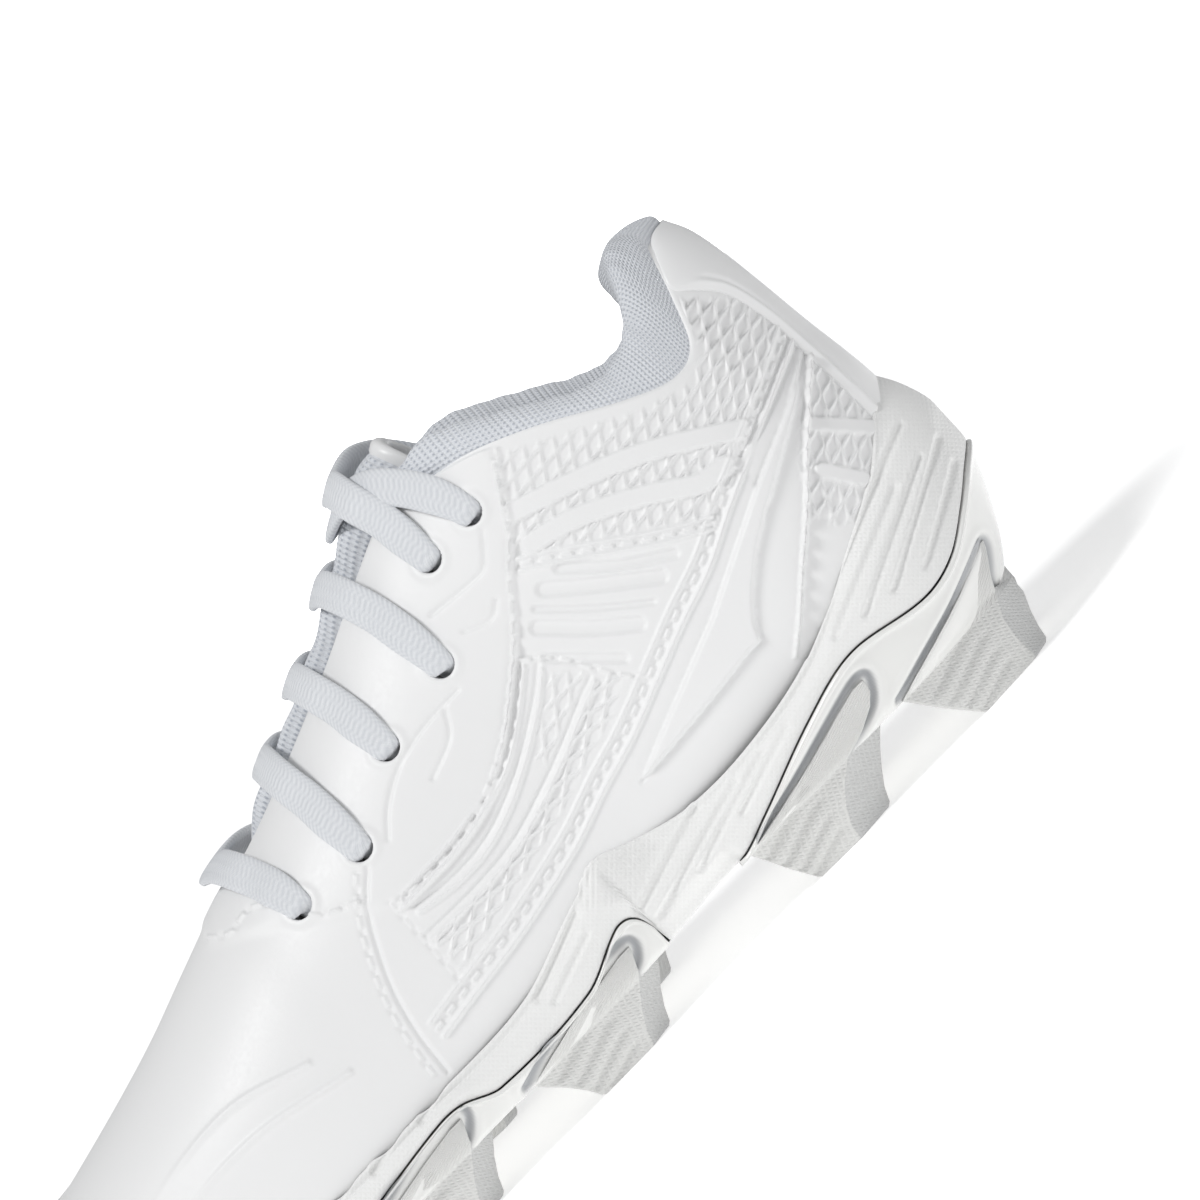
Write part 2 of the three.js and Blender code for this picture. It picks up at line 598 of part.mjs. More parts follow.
// The plates' section at one place: its outer side, and its inner side moved by a clearance.
function plateSection(a, clear) {
  const s = station(Math.abs(a));
  const [edge, lip] = [edgeOut(Math.abs(a)), lineOut(Math.abs(a))];
  const line = Math.max(plateLine(s), soleBase(s) + plateThickness + 1);
  const side = (k, inset, lift) => {
    const point = floorPoint(a, mix(edge, lip, k ** 0.7) - inset, soleBase);
    return point.setZ(mix(point.z, line, k) + lift);
  };
  const upper = (x) => soleBase(x) + plateThickness + clear;
  return {
    line,
    outer: [spinePoint(a, soleBase), floorPoint(a, edge - 7, soleBase),
      floorPoint(a, edge - 0.6, soleBase),
      side(0.12, 0, 0), side(0.5, 0, 0), side(1, 0, 0)],
    inner: [spinePoint(a, upper), floorPoint(a, edge - 7 - clear, upper),
      floorPoint(a, edge - 2.6 - clear, upper),
      side(0.55, flangeThickness + 2 * clear, plateThickness * 0.5 + 1.6 * clear),
        side(1, flangeThickness + 1.7 * clear, clear)],
  };
}
function addPlates() {
  const profile = (a) => {
    const { outer, inner } = plateSection(a, 0);
    return [...outer, ...inner.reverse()];
  };
  const [heelEnd, foreStart] = [heelPlateEnd, forefootPlateStart].map(stationShare);
  const heel = between(0, heelEnd);
  add("heel_plate", tray([...mirrored(heel.slice(1)), ...heel], profile, false), "plate");
  const fore = between(foreStart, 1);
  add("forefoot_plate", tray([...fore, ...mirrored(fore).slice(1)], profile, false), "plate");
}
// 1 where a plate lies under the midsole, 0 in the arch between the plates.
const plated = (s) =>
  1 - THREE.MathUtils.smoothstep(s, heelPlateEnd + 0.4, heelPlateEnd + 3) *
    (1 - THREE.MathUtils.smoothstep(s, forefootPlateStart - 3, forefootPlateStart - 0.4));
function addMidsole() {
  const profile = (a) => {
    const s = station(Math.abs(a));
    const [lip, rim, low] = [lineOut(Math.abs(a)), midsoleRim(s), featherline(s)];
    const above = plateSection(a, gap);
    const arch = plateSection(a, 0).outer.filter((point, i) => i !== 3);
    const bottom = above.inner.map((point, i) => point.lerp(arch[i], 1 - plated(s)));
    const shoulder = above.line + gap;
    const inner = (share) => {
      const z = mix(rim, low + 0.2, share);
      return offsetPoint(a, turnAt(s, z), 1.2 * seat).setZ(z);
    };
    const floorTop = (x) => featherline(x) - 2 * gap - strobelThickness;
    return [
      ...bottom, outlinePoint(a, lip, shoulder), outlinePoint(a, lip * 1.02, mix(rim, shoulder, 0.45)),
      outlinePoint(a, mix(rimOut(Math.abs(a)), lip, 0.45), rim - 0.8),
        outlinePoint(a, rimOut(Math.abs(a)) - 0.4, rim),
      inner(0), inner(0.33), inner(0.67), inner(1),
      floorPoint(a, -3.2, floorTop), floorPoint(a, -9, floorTop), spinePoint(a, floorTop),
    ];
  };
  add("midsole", tray([...mirrored(soleHalf.slice(1)), ...soleHalf], profile, true), "midsole");
}

// Studs: blades that taper from the plate to a flat tip on the ground. Each is placed by the station and
// side of its middle, with its length along the edge, its depth across the sole and the height its tip is
// off the ground.
const studs = {
  heel_rear: { station: 29, length: 27, depth: 16, tip: [12, 8], lean: 1.5, lift: 0 },
  heel_front: { station: 67, length: 27, depth: 15, tip: [11, 8], lean: -1.5, lift: 0 },
  forefoot_rear: { station: 121, length: 24, depth: 15, tip: [13, 8], lean: 0, lift: 0 },
  forefoot_middle: { station: 162, length: 24, depth: 15, tip: [13, 8], lean: 0, lift: 0 },
  forefoot_front: { station: 205, length: 22, depth: 14, tip: [12, 7.5], lean: 0, lift: 0.6 },
};
function studGeometry({ station: place, length, depth, tip, lean, lift }, side) {
  const a = stationShare(place * long);
  const corners = [[-0.5, 0], [-0.36, 1], [0.36, 1], [0.5, 0], [0.3, -0.85], [-0.3, -0.85]];
  const ring = (height, run, reach, shift) =>
    corners.map(([u, v]) => {
      const b = side * stationShare(place * long + shift + u * run);
      return floorPoint(b, edgeOut(a) - 2 - depth / 2 + (v * reach) / 2, height);
    });
  return loft([
    ring((x) => soleBase(x) - gap, length, depth, 0),
    ring((x) => mix(lift, soleBase(x), 0.6), length * 0.72, depth * 0.8, lean * 0.4),
    ring(() => lift, tip[0], tip[1], lean),
  ]);
}
function addStuds() {
  for (const [place, shape] of Object.entries(studs))
    for (const [name, side] of Object.entries(sides)) add(`stud_${place}_${name}`,
      studGeometry(shape, side), "stud");
  // The toe stud lies across the tip of the sole, clear of the ground because the toe springs up.
  const [s, half] = [240 * long, 9];
  const middle = centreLine(stationShare(s));
  const ring = (z, run, reach) =>
    [[-0.5, -0.6], [-0.5, 0.6], [0, 1], [0.5, 0.6], [0.5, -0.6], [0, -1]].map(
      ([u, v]) => new THREE.Vector3(-s - u * run, middle + v * reach, z(s + u * run)));
  add("stud_toe", loft([ring((x) => soleBase(x) - gap, 15, half + 3), ring(() => 3.5, 8, half - 1)]),
    "stud");
}

// Tongue: outer skin, foam and lining, with a binding round its free end. It lies under the facings and
// stands up into the throat between them.
const tongueTop = 77 * long;
const tongueRoot = 160 * long;
const tongueRise = 2.2; // the foam stands this far above the facings' surface in the throat
const tongueDepth = along([[84, 7.8], [95, 5.2]]); // and lies this deep under the facings, below the lace
function tongueHalfTurn(s) {
  return turnFromRidge(s,
    through([[tongueTop, 25], [110 * long, 24], [150 * long, 17], [tongueRoot, 13]])(s));
}
function tongueOut(s, turn) {
  const y = Math.abs(turn) / Math.max(turnFromRidge(s, Math.max(throatHalf(s), 4)), 1e-3);
  const rise = tongueRise * (1 - THREE.MathUtils.smoothstep(s, 140 * long, 152 * long)) -
    4.8 * THREE.MathUtils.smoothstep(s, 137 * long, 151 * long);
  return mix(rise, -tongueDepth(s), THREE.MathUtils.smoothstep(y, 0.25, 0.97));
}
function addTongue() {
  const body = new THREE.Group();
  shoe.add(body);
  const layer = (name, top, thickness, finish) => {
    const at = (u, v) => {
      const s = mix(tongueTop + 4, tongueRoot, u);
      const half = tongueHalfTurn(s);
      return [stationShare(s), mix(-half, half, v)];
    };
    const outer = (u, v) => tongueOut(...(([a, turn]) => [station(a), turn])(at(u, v))) - top;
    add(name, sheet(at, 10, 10, (u, v) => outer(u, v) - thickness, outer), finish, body);
  };
  layer("tongue_cover", 0, tongueSkin, "mesh");
  layer("tongue_foam", tongueSkin + seat, tongueFoam, "foam");
  layer("tongue_lining", tongueSkin + tongueFoam + 2 * seat, tongueSkin, "mesh");
  const middle = (tongueSkin * 2 + tongueFoam + 2 * seat) / 2;
  const binding = steps(16, -1, 1).map((v) => {
    const ring = steps(7, 0, (7 / 8) * 2 * Math.PI).map((angle) => {
      const s = tongueTop + 1.6 - 1.9 * Math.cos(angle);
      const turn = v * tongueHalfTurn(tongueTop + 4);
      return offsetPoint(stationShare(s), turn,
        tongueOut(s, turn) - middle + (middle + 0.2) * Math.sin(angle));
    });
    return ring;
  });
  add("tongue_binding", loft(binding), "upper", body);
}

// Lace: one flat braid. It lies straight across the throat at the four lower rows, crosses between the
// top two, dives into every eyelet from outside, and runs up between the lining and the tongue to its
// next row. Both ends are tucked down inside the outer side.
const laceOver = 1.2 * seat + overlay + gap + laceThickness / 2;
const laceUnder = along([[77,
  leather + stiffener + 3 * seat + 2 * gap + liningThickness + gap + laceThickness / 2 + 0.2],
  [88, leather + seat + liningThickness + gap + laceThickness / 2 + 0.25]]);
const lacePinch = [2.8, 2]; // its width and thickness where it is squeezed through an eyelet
function laceRoute() {
  const route = [];
  const put = (s, turn, out, size,
    inHole = false) => route.push({ a: stationShare(s), turn, out, size, through: inHole });
  const flat = [laceWidth, laceThickness];
  const folded = [3, laceThickness];
  // Through an eyelet: down goes in from outside, up comes out.
  const hole = (row, side, down) => {
    const [s, z] = eyelets[row];
    const depths = [laceOver + 0.1, 0.4, -laceUnder(s) + 0.8];
    for (const out of down ? depths : depths.reverse()) put(s, side * turnAt(s, z), out, lacePinch, true);
  };
  // Over the foot from one eyelet to another, by way of a station on the ridge.
  const over = (from, to, side, ridgeStation, lift) => {
    const [start, end] = [eyelets[from], eyelets[to]];
    for (const t of [0.07, 0.18, 0.33, 0.5, 0.67, 0.82, 0.93]) {
      const near = t < 0.5 ? start : end;
      const toRidge = 1 - Math.abs(2 * t - 1);
      const s = mix(near[0], ridgeStation * long, toRidge ** 1.2);
      const turn = (t < 0.5 ? side : -side) * turnAt(...near) * (1 - toRidge);
      const crown = THREE.MathUtils.smoothstep(toRidge, 0.3, 0.6) * (tongueRise + 0.3 - seat - overlay);
      put(s, turn || 1e-6, laceOver + crown + lift * THREE.MathUtils.smoothstep(toRidge, 0.2, 0.75),
        t > 0.1 && t < 0.9 ? flat : [4.6, 1.7]);
    }
  };
  // Along the inside from one row to another on the same side, bowed down the side by bow.
  const under = (from, to, side, bow) => {
    for (const t of [0.12, 0.35, 0.65, 0.88]) {
      const s = mix(eyelets[from][0], eyelets[to][0], t);
      const z = mix(eyelets[from][1], eyelets[to][1], t) - bow * 4 * t * (1 - t);
      put(s, side * turnAt(s, z), -laceUnder(s), folded);
    }
  };
  const tuck = (row, side, t) => {
    const [s, z] = eyelets[row];
    put(s + 8 * t, side * turnAt(s, z - 4 - 14 * t), -laceUnder(s), folded);
  };
  const { lateral, medial } = sides;
  for (const t of [1, 0.6, 0.2]) tuck(0, lateral, t);
  hole(0, lateral, false);
  over(0, 1, lateral, 90, 0);
  hole(1, medial, true);
  under(1, 3, medial, -2.4);
  hole(3, medial, false);
  over(3, 3, medial, 115, 0);
  hole(3, lateral, true);
  under(3, 5, lateral, -2.4);
  hole(5, lateral, false);
  over(5, 5, lateral, 151, 0);
  hole(5, medial, true);
  under(5, 4, medial, 0);
  hole(4, medial, false);
  over(4, 4, medial, 130, 0);
  hole(4, lateral, true);
  under(4, 2, lateral, 3);
  hole(2, lateral, false);
  over(2, 2, lateral, 100, 0);
  hole(2, medial, true);
  under(2, 0, medial, 3);
  hole(0, medial, false);
  over(0, 1, medial, 85, laceThickness + 0.5);
  hole(1, lateral, true);
  for (const t of [0.2, 0.6, 1]) tuck(1, lateral, t);
  return route;
}
// A flat ribbon through the route. It lies flat on the last's surface, and where it goes through an
// eyelet it keeps the direction of its width from the place before.
function ribbonRings(route) {
  const centres = route.map(({ a, turn, out }) => offsetPoint(a, turn, out));
  let width = null;
  return route.map(({ a, turn, through: inHole, size }, i) => {
    const run = centres[Math.min(i + 1,
      centres.length - 1)].clone().sub(centres[Math.max(i - 1, 0)]).normalize();
    const flat = lastNormal(a, turn).cross(run);
    if (!inHole || !width) {
      if (width && width.dot(flat) < 0) flat.negate();
      width = flat;
    }
    const side = width.clone().addScaledVector(run, -width.dot(run)).normalize();
    const face = run.clone().cross(side);
    return steps(7, 0, 7 / 8).map((share) => {
      const angle = 2 * Math.PI * (share + 1 / 16);
      const round = (value) => Math.sign(value) * Math.abs(value) ** 0.7;
      return centres[i].clone().addScaledVector(side, (round(Math.cos(angle)) * size[0]) / 2)
        .addScaledVector(face, (round(Math.sin(angle)) * size[1]) / 2);
    });
  });
}
function addLace() {
  add("lace", loft(ribbonRings(laceRoute())), "lace");
  // Aglets: stiff tips that carry on from the two tucked ends.
  for (const [name, row] of [["aglet_a", 0], ["aglet_b", 1]]) {
    const [s, z] = eyelets[row];
    const route = [1.03, 1.5, 2.05].map((t) => ({
      a: stationShare(s + 8 * t), turn: sides.lateral * turnAt(s, z - 4 - 14 * t), out: -laceUnder(s),
        size: [2.6, 2],
    }));
    add(name, loft(ribbonRings(route)), "stiffener");
  }
}

addQuarters();
addVamp();
addQuarterLinings();
addFacings();
addHeelTab();
addToeCap();
addStiffeners();
addCollar();
addInsole();
addPlates();
addMidsole();
addStuds();
addTongue();
addLace();

const box = new THREE.Box3().setFromObject(shoe);
shoe.position.set(-(box.min.x + box.max.x) / 2, -(box.min.y + box.max.y) / 2, -box.min.z);

export default shoe;
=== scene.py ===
# %% [markdown]
# # A low cleat shoe in white
#
# A moulded-stud field shoe: a padded, embossed upper of coated synthetic leather on a foam midsole, with
# glossy sole plates and matte studs below. We build the looks round a frame that holds the sizes and the
# moving tongue. Most pieces here are dense sheets shaped by formulas, and the pressed seams, bars and ribs
# are drawn once as a height map in millimetres and then pushed out of the sheets. Carving them by hand
# would take far longer, and a bump map alone would leave the edges flat against the light.

# %% Set up
import json
import math

import bmesh
import bpy
import numpy as np
from mathutils import Matrix, Vector

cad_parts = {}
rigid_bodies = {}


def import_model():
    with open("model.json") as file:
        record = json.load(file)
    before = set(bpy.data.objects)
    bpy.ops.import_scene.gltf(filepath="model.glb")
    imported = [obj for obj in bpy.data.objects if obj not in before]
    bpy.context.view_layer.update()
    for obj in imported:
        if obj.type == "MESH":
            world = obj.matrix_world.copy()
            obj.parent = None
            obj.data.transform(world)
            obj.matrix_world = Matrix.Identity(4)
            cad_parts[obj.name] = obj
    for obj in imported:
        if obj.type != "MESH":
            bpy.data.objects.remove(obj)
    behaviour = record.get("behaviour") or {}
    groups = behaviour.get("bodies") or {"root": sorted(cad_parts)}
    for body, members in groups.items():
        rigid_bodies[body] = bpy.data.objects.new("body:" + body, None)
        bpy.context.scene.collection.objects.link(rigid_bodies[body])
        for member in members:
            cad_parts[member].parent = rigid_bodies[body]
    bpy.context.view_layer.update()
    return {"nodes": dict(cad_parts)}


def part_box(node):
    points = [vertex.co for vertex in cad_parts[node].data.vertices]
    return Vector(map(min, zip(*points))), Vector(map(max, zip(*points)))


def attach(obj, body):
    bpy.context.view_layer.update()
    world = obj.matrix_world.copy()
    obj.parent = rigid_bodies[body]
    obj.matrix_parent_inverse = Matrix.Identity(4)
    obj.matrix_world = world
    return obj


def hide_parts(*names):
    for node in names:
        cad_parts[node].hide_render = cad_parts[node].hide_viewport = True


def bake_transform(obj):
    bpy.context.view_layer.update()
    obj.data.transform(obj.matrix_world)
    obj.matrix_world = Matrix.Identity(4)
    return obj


for leftover in list(bpy.data.objects):
    bpy.data.objects.remove(leftover)
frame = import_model()

# %% [markdown]
# ## The camera
#
# It stands beside the outer side, a little behind and above, and is rolled so that the shoe points down to
# the left. A long lens keeps the side view free of strong perspective.

# %% Camera
MM = 0.001
camera_azimuth, camera_elevation, camera_roll = math.radians(5), math.radians(3.5), math.radians(45)
aim = Vector((68.2, -30, 62.0)) * MM
seen_width = 209.4 * MM
camera = bpy.data.objects.new("camera", bpy.data.cameras.new("camera"))
bpy.context.scene.collection.objects.link(camera)
camera.data.lens = 150
camera.data.sensor_width = 36
distance = seen_width * camera.data.lens / camera.data.sensor_width
camera_back = Vector((
    math.sin(camera_azimuth) * math.cos(camera_elevation),
    -math.cos(camera_azimuth) * math.cos(camera_elevation),
    math.sin(camera_elevation),
))
upright = (-camera_back).to_track_quat("-Z", "Y").to_matrix()
camera.matrix_world = Matrix.LocRotScale(
    aim + camera_back * distance, (upright @ Matrix.Rotation(-camera_roll, 3, "Z")).to_quaternion(), None
)
camera.data.clip_start = 0.05
camera.data.clip_end = 20
bpy.context.scene.camera = camera
print("camera distance:", round(distance, 3), "m")

# %% [markdown]
# ## The last
#
# Shoemakers build a shoe on a last, a solid foot shape. Ours is a formula: how wide, how high and how far
# back it is at each station, the distance from the heel. Every sheet of the shoe is then laid on it.

# %% Curves
def curve(points):
    """A smooth function through (at, value) points, level beyond its ends."""
    at, value = np.array(points, float).T
    before, after = np.maximum(np.arange(len(at)) - 1, 0), np.minimum(np.arange(len(at)) + 1, len(at) - 1)
    slope = (value[after] - value[before]) / (at[after] - at[before])

    def read(where):
        where = np.clip(np.asarray(where, float), at[0], at[-1])
        i = np.clip(np.searchsorted(at, where, side="right") - 1, 0, len(at) - 2)
        span = at[i + 1] - at[i]
        t = (where - at[i]) / span
        return (
            value[i] * (1 + 2 * t) * (1 - t) ** 2
            + value[i + 1] * t * t * (3 - 2 * t)
            + span * (slope[i] * t * (1 - t) ** 2 - slope[i + 1] * t * t * (1 - t))
        )

    return read


def smooth(value, low=0.0, high=1.0):
    t = np.clip((np.asarray(value, float) - low) / (high - low), 0, 1)
    return t * t * (3 - 2 * t)


def mix(p, q, t):
    return p + (q - p) * t


upper_length, heel_width, waist_width, ball_width, toe_swing = 262, 66, 65, 92, 8
half_width = curve([
    (0, 0), (0.1, 0.27 * heel_width), (0.2, 0.455 * heel_width), (0.3, heel_width / 2), (0.4, waist_width / 2),
    (0.5, 0.42 * ball_width), (0.6, ball_width / 2), (0.7, 0.49 * ball_width), (0.8, 0.38 * ball_width),
    (0.9, 0.2 * ball_width), (1, 0),
])
centre_line = curve([
    (0, 0), (0.2, 0), (0.35, -1), (0.5, -2), (0.6, -0.5), (0.7, 3), (0.8, 5.5), (0.9, 0.9 * toe_swing),
    (1, toe_swing),
])
feather_line = curve([
    (0, 27), (25, 26.5), (54, 25), (90, 21), (131, 18), (171, 17.3), (208, 18), (237, 21), (255, 25), (262, 27),
])
ridge_line = curve([
    (0, 128), (25, 130), (54, 122), (75, 109), (91, 100), (110, 89), (131, 79), (146, 73), (155, 70.8),
    (169, 65.8), (185, 60), (208, 53.5), (237, 46.5), (250, 44.1), (262, 41.5),
])
heel_back = curve([
    (20, 11), (30, 7.5), (40, 5.5), (55, 5.3), (70, 7), (80, 8), (90, 9.2), (96, 10.5), (100.4, 12.6), (106, 15),
])
toe_round, toe_drop, boxiness, tuck_share, tuck_in, tuck_turn, lean_reach = 14, 9, 2.3, 0.12, 0.09, 0.86, 110


def station(a):
    return upper_length * (1 - np.cos(np.pi * np.asarray(a, float))) / 2


def share(s):
    return np.arccos(1 - 2 * np.clip(s, 0, upper_length) / upper_length) / np.pi


def levels(s):
    into = np.clip((s - upper_length + toe_round) / toe_round, 0, 1)
    top = ridge_line(s) - toe_drop * (1 - np.sqrt(1 - into * into))
    low = feather_line(s)
    return low, top, low + tuck_share * (top - low)


def turn_at(s, z):
    """How far round the section a height is: 0 on the top ridge, 1 at the bottom edge."""
    low, top, wide = levels(np.asarray(s, float))
    up = np.clip((z - wide) / (top - wide), 0, 1)
    return np.where(z <= wide, mix(1, tuck_turn, (z - low) / (wide - low)),
                    tuck_turn * 2 * np.arccos(up ** (boxiness / 2)) / np.pi)


def turn_from_ridge(s, y):
    return tuck_turn * 2 * np.arcsin(np.minimum(y / np.maximum(half_width(share(s)), 1), 1) ** (boxiness / 2)) / np.pi


def last_point(a, turn):
    """Points of the last in mm, by place round the foot (negative a is the outer side) and turn."""
    a, turn = np.broadcast_arrays(np.asarray(a, float), np.asarray(turn, float))
    s, t = station(abs(a)), abs(turn)
    low, top, wide = levels(s)
    side = np.where((a < 0) != (turn < 0), -1, 1)
    angle = np.minimum(t / tuck_turn, 1) * np.pi / 2
    down = np.maximum(t - tuck_turn, 0) / (1 - tuck_turn)
    z = np.where(down > 0, mix(wide, low, down), wide + (top - wide) * np.cos(angle) ** (2 / boxiness))
    reach = np.sin(angle) ** (2 / boxiness) - tuck_in * down * down
    lean = heel_back(z) * np.maximum(1 - s / lean_reach, 0) ** 2
    return np.stack([-s - lean, centre_line(abs(a)) + side * half_width(abs(a)) * reach, z], -1)


def outline_point(a, out, z):
    """Points round the last's widest outline, moved outwards, at height z."""
    a, out, z = np.broadcast_arrays(np.asarray(a, float), np.asarray(out, float), np.asarray(z, float))

    def plan(b):
        s = station(abs(b))
        lean = heel_back(40) * np.maximum(1 - s / lean_reach, 0) ** 2
        return np.stack([-s - lean, centre_line(abs(b)) + np.sign(b) * half_width(abs(b))], -1)

    step = 1e-3
    along = plan(np.minimum(a + step, 1)) - plan(np.maximum(a - step, -1))
    along /= np.linalg.norm(along, axis=-1, keepdims=True)
    outward = np.stack([along[..., 1], -along[..., 0]], -1)
    outward[abs(a) > 1 - step] = (-1, 0)
    xy = plan(a) + outward * out[..., None]
    return np.concatenate([xy, z[..., None]], -1)


toe_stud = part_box("stud_toe")
origin = np.array([
    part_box("vamp")[0].x / MM + upper_length,
    (toe_stud[0].y + toe_stud[1].y) / 2 / MM - float(centre_line(share(240))),
    0,
])
heel_x = 133.2  # how far behind the origin the rearmost point of the heel is
print("the last's heel is at x, y =", origin[:2].round(2), "mm")

# %% [markdown]
# ## Sheets of mesh
#
# Each sheet is a grid of points. These helpers turn grids into meshes, give them a map in millimetres for
# their patterns, and push them in and out along their own normals.

# %% Mesh helpers
def grid_faces(rows, columns, start=0):
    i, j = np.meshgrid(np.arange(rows - 1), np.arange(columns - 1), indexing="ij")
    first = (start + i * columns + j).ravel()
    return np.stack([first, first + 1, first + columns + 1, first + columns], -1)


def grid_normals(points):
    normal = np.cross(np.gradient(points, axis=1), np.gradient(points, axis=0))
    return normal / np.maximum(np.linalg.norm(normal, axis=-1, keepdims=True), 1e-9)


def spline(controls, per_span):
    """A smooth sheet or line through rows of control points, with per_span samples between each two."""
    controls = np.asarray(controls, float)
    padded = np.concatenate([2 * controls[:1] - controls[1:2], controls, 2 * controls[-1:] - controls[-2:-1]])
    rows = []
    for k in range(1, len(padded) - 2):
        p0, p1, p2, p3 = padded[k - 1:k + 3]
        for t in np.arange(per_span) / per_span:
            rows.append(0.5 * (2 * p1 + (p2 - p0) * t + (2 * p0 - 5 * p1 + 4 * p2 - p3) * t * t
                               + (3 * p1 - p0 - 3 * p2 + p3) * t ** 3))
    return np.stack(rows + [controls[-1]])


def even(values, lengths, count):
    """Values re-spaced so that equal steps cover equal lengths."""
    return np.interp(np.linspace(0, lengths[-1], count), lengths, values)


def run_length(points):
    steps = np.linalg.norm(np.diff(points, axis=0), axis=-1)
    return np.concatenate([np.zeros((1,) + steps.shape[1:]), np.cumsum(steps, axis=0)])


def make_piece(name, points, faces, material, map_mm=None, painted_shade=None, body="shoe", flip=False):
    """A mesh object from points in mm on the last. map_mm is a point's place in its pattern; its painted shade values
    tint it darker.
    """
    mesh = bpy.data.meshes.new(name)
    points = np.asarray(points, float).reshape(-1, 3)
    faces = np.asarray(faces)[:, ::-1] if flip else np.asarray(faces)
    mesh.vertices.add(len(points))
    mesh.vertices.foreach_set("co", ((points + origin) * MM).ravel())
    mesh.loops.add(faces.size)
    mesh.loops.foreach_set("vertex_index", faces.ravel())
    mesh.polygons.add(len(faces))
    mesh.polygons.foreach_set("loop_start", np.arange(0, faces.size, faces.shape[1]))
    mesh.update(calc_edges=True)
    mesh.validate()
    mesh.polygons.foreach_set("use_smooth", np.ones(len(mesh.polygons), bool))
    corners = np.empty(len(mesh.loops), int)
    mesh.loops.foreach_get("vertex_index", corners)
    if map_mm is not None:
        layer = mesh.uv_layers.new(name="pattern")
        layer.data.foreach_set("uv", (np.asarray(map_mm, float).reshape(-1, 2)[corners] / 100).ravel())
    # Painted shade: a value per point that darkens the colour where shade would fall.
    if painted_shade is not None:
        mesh.attributes.new("painted_shade", "FLOAT", "POINT").data.foreach_set("value", np.asarray(painted_shade, float).ravel())
    piece = bpy.data.objects.new(name, mesh)
    bpy.context.scene.collection.objects.link(piece)
    mesh.materials.append(material)
    if body:
        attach(piece, body)
    return piece


# %% [markdown]
# ## The drawing of the pressed pattern
#
# A coated upper is pressed between hot plates, which leave ridges, bars and fields of fine waves. We draw
# that as heights on a sheet of paper laid beside the shoe: across is the distance from the heel, and up is
# the height above the ground, both in millimetres and as seen from the camera's side.

# %% Drawing tools
PITCH = 0.25
sheet_x, sheet_z = np.arange(-6, 272, PITCH), np.arange(-2, 112, PITCH)
grid_x, grid_z = np.meshgrid(sheet_x, sheet_z, indexing="ij")


def pen(points, step=0.6):
    """A smooth line through points, with a point every step."""
    line = spline(points, 12) if len(points) > 2 else np.array(points, float)
    length = run_length(line)
    count = max(int(length[-1] / step), 2)
    return np.stack([even(line[:, k], length, count) for k in (0, 1)], -1)


def from_line(line, reach):
    """For every spot of the drawing near a line, its distance from it and how far along it is."""
    away, run, done = np.full(grid_x.shape, 99.0), np.zeros(grid_x.shape), 0.0
    for p, q in zip(line[:-1], line[1:]):
        low = (np.minimum(p, q) - reach - (sheet_x[0], sheet_z[0])) / PITCH
        high = (np.maximum(p, q) + reach - (sheet_x[0], sheet_z[0])) / PITCH + 2
        spot = tuple(slice(max(int(l), 0), max(int(h), 0)) for l, h in zip(low, high))
        step = q - p
        length = max(float(np.hypot(*step)), 1e-6)
        px, pz = grid_x[spot] - p[0], grid_z[spot] - p[1]
        t = np.clip((px * step[0] + pz * step[1]) / length ** 2, 0, 1)
        d = np.hypot(px - t * step[0], pz - t * step[1])
        closer = d < away[spot]
        away[spot] = np.where(closer, d, away[spot])
        run[spot] = np.where(closer, done + t * length, run[spot])
        done += length
    return away, run


def line_mark(sheet, points, width, height):
    """A rounded ridge, or a groove where height is negative."""
    away, _ = from_line(pen(points), width * 2.5)
    sheet += height * np.exp(-((away / (width / 2)) ** 2))


def bar_mark(sheet, points, width, height, edge=0.5):
    """A flat raised bar with short sloped sides."""
    away, _ = from_line(pen(points), width)
    sheet += height * (1 - smooth(away, width / 2 - edge / 2, width / 2 + edge / 2))


def stitch_mark(sheet, points, length=2.6, pause=1.0, height=0.28):
    """A sewn line: a shallow channel with a row of thread dashes in it."""
    away, run = from_line(pen(points), 2.5)
    sheet -= 0.22 * np.exp(-((away / 0.55) ** 2))
    beat = np.mod(run, length + pause)
    dash = smooth(beat, 0, 0.4) * (1 - smooth(beat, length - 0.4, length))
    sheet += height * 1.5 * np.exp(-((away / 0.38) ** 2)) * dash


def inside(points):
    """1 inside a closed outline and 0 outside."""
    points = np.array(points, float)
    hit = np.zeros(grid_x.shape, bool)
    for (x0, z0), (x1, z1) in zip(points, np.roll(points, -1, axis=0)):
        if z0 != z1:
            crosses = (grid_z > min(z0, z1)) & (grid_z <= max(z0, z1))
            hit ^= crosses & (grid_x < x0 + (grid_z - z0) * (x1 - x0) / (z1 - z0))
    return hit.astype(float)


def soften(sheet, reach):
    """The sheet blurred over reach millimetres."""
    taps = np.arange(-int(3 * reach / PITCH), int(3 * reach / PITCH) + 1)
    weights = np.exp(-((taps * PITCH / reach) ** 2) / 2)
    weights /= weights.sum()
    for axis in (0, 1):
        sheet = sum(w * np.roll(sheet, k, axis=axis) for k, w in zip(taps, weights))
    return sheet


def waves(lean, spacing=1.5, swing=0.52, wavelength=6.0, width=0.62):
    """Wavy ridges in turn, like rows of eyes, that run forwards and down by lean degrees."""
    lean = math.radians(lean)
    guide = grid_x * math.sin(lean) + grid_z * math.cos(lean)
    run = grid_x * math.cos(lean) - grid_z * math.sin(lean)
    row = np.round(guide / spacing)
    height = np.zeros(grid_x.shape)
    for beside in (-1, 0, 1):
        n = row + beside
        middle = n * spacing + swing * np.where(np.mod(n, 2) == 0, 1, -1) * np.sin(2 * np.pi * run / wavelength)
        height = np.maximum(height, np.exp(-(((guide - middle) / (width / 2)) ** 2)))
    return height


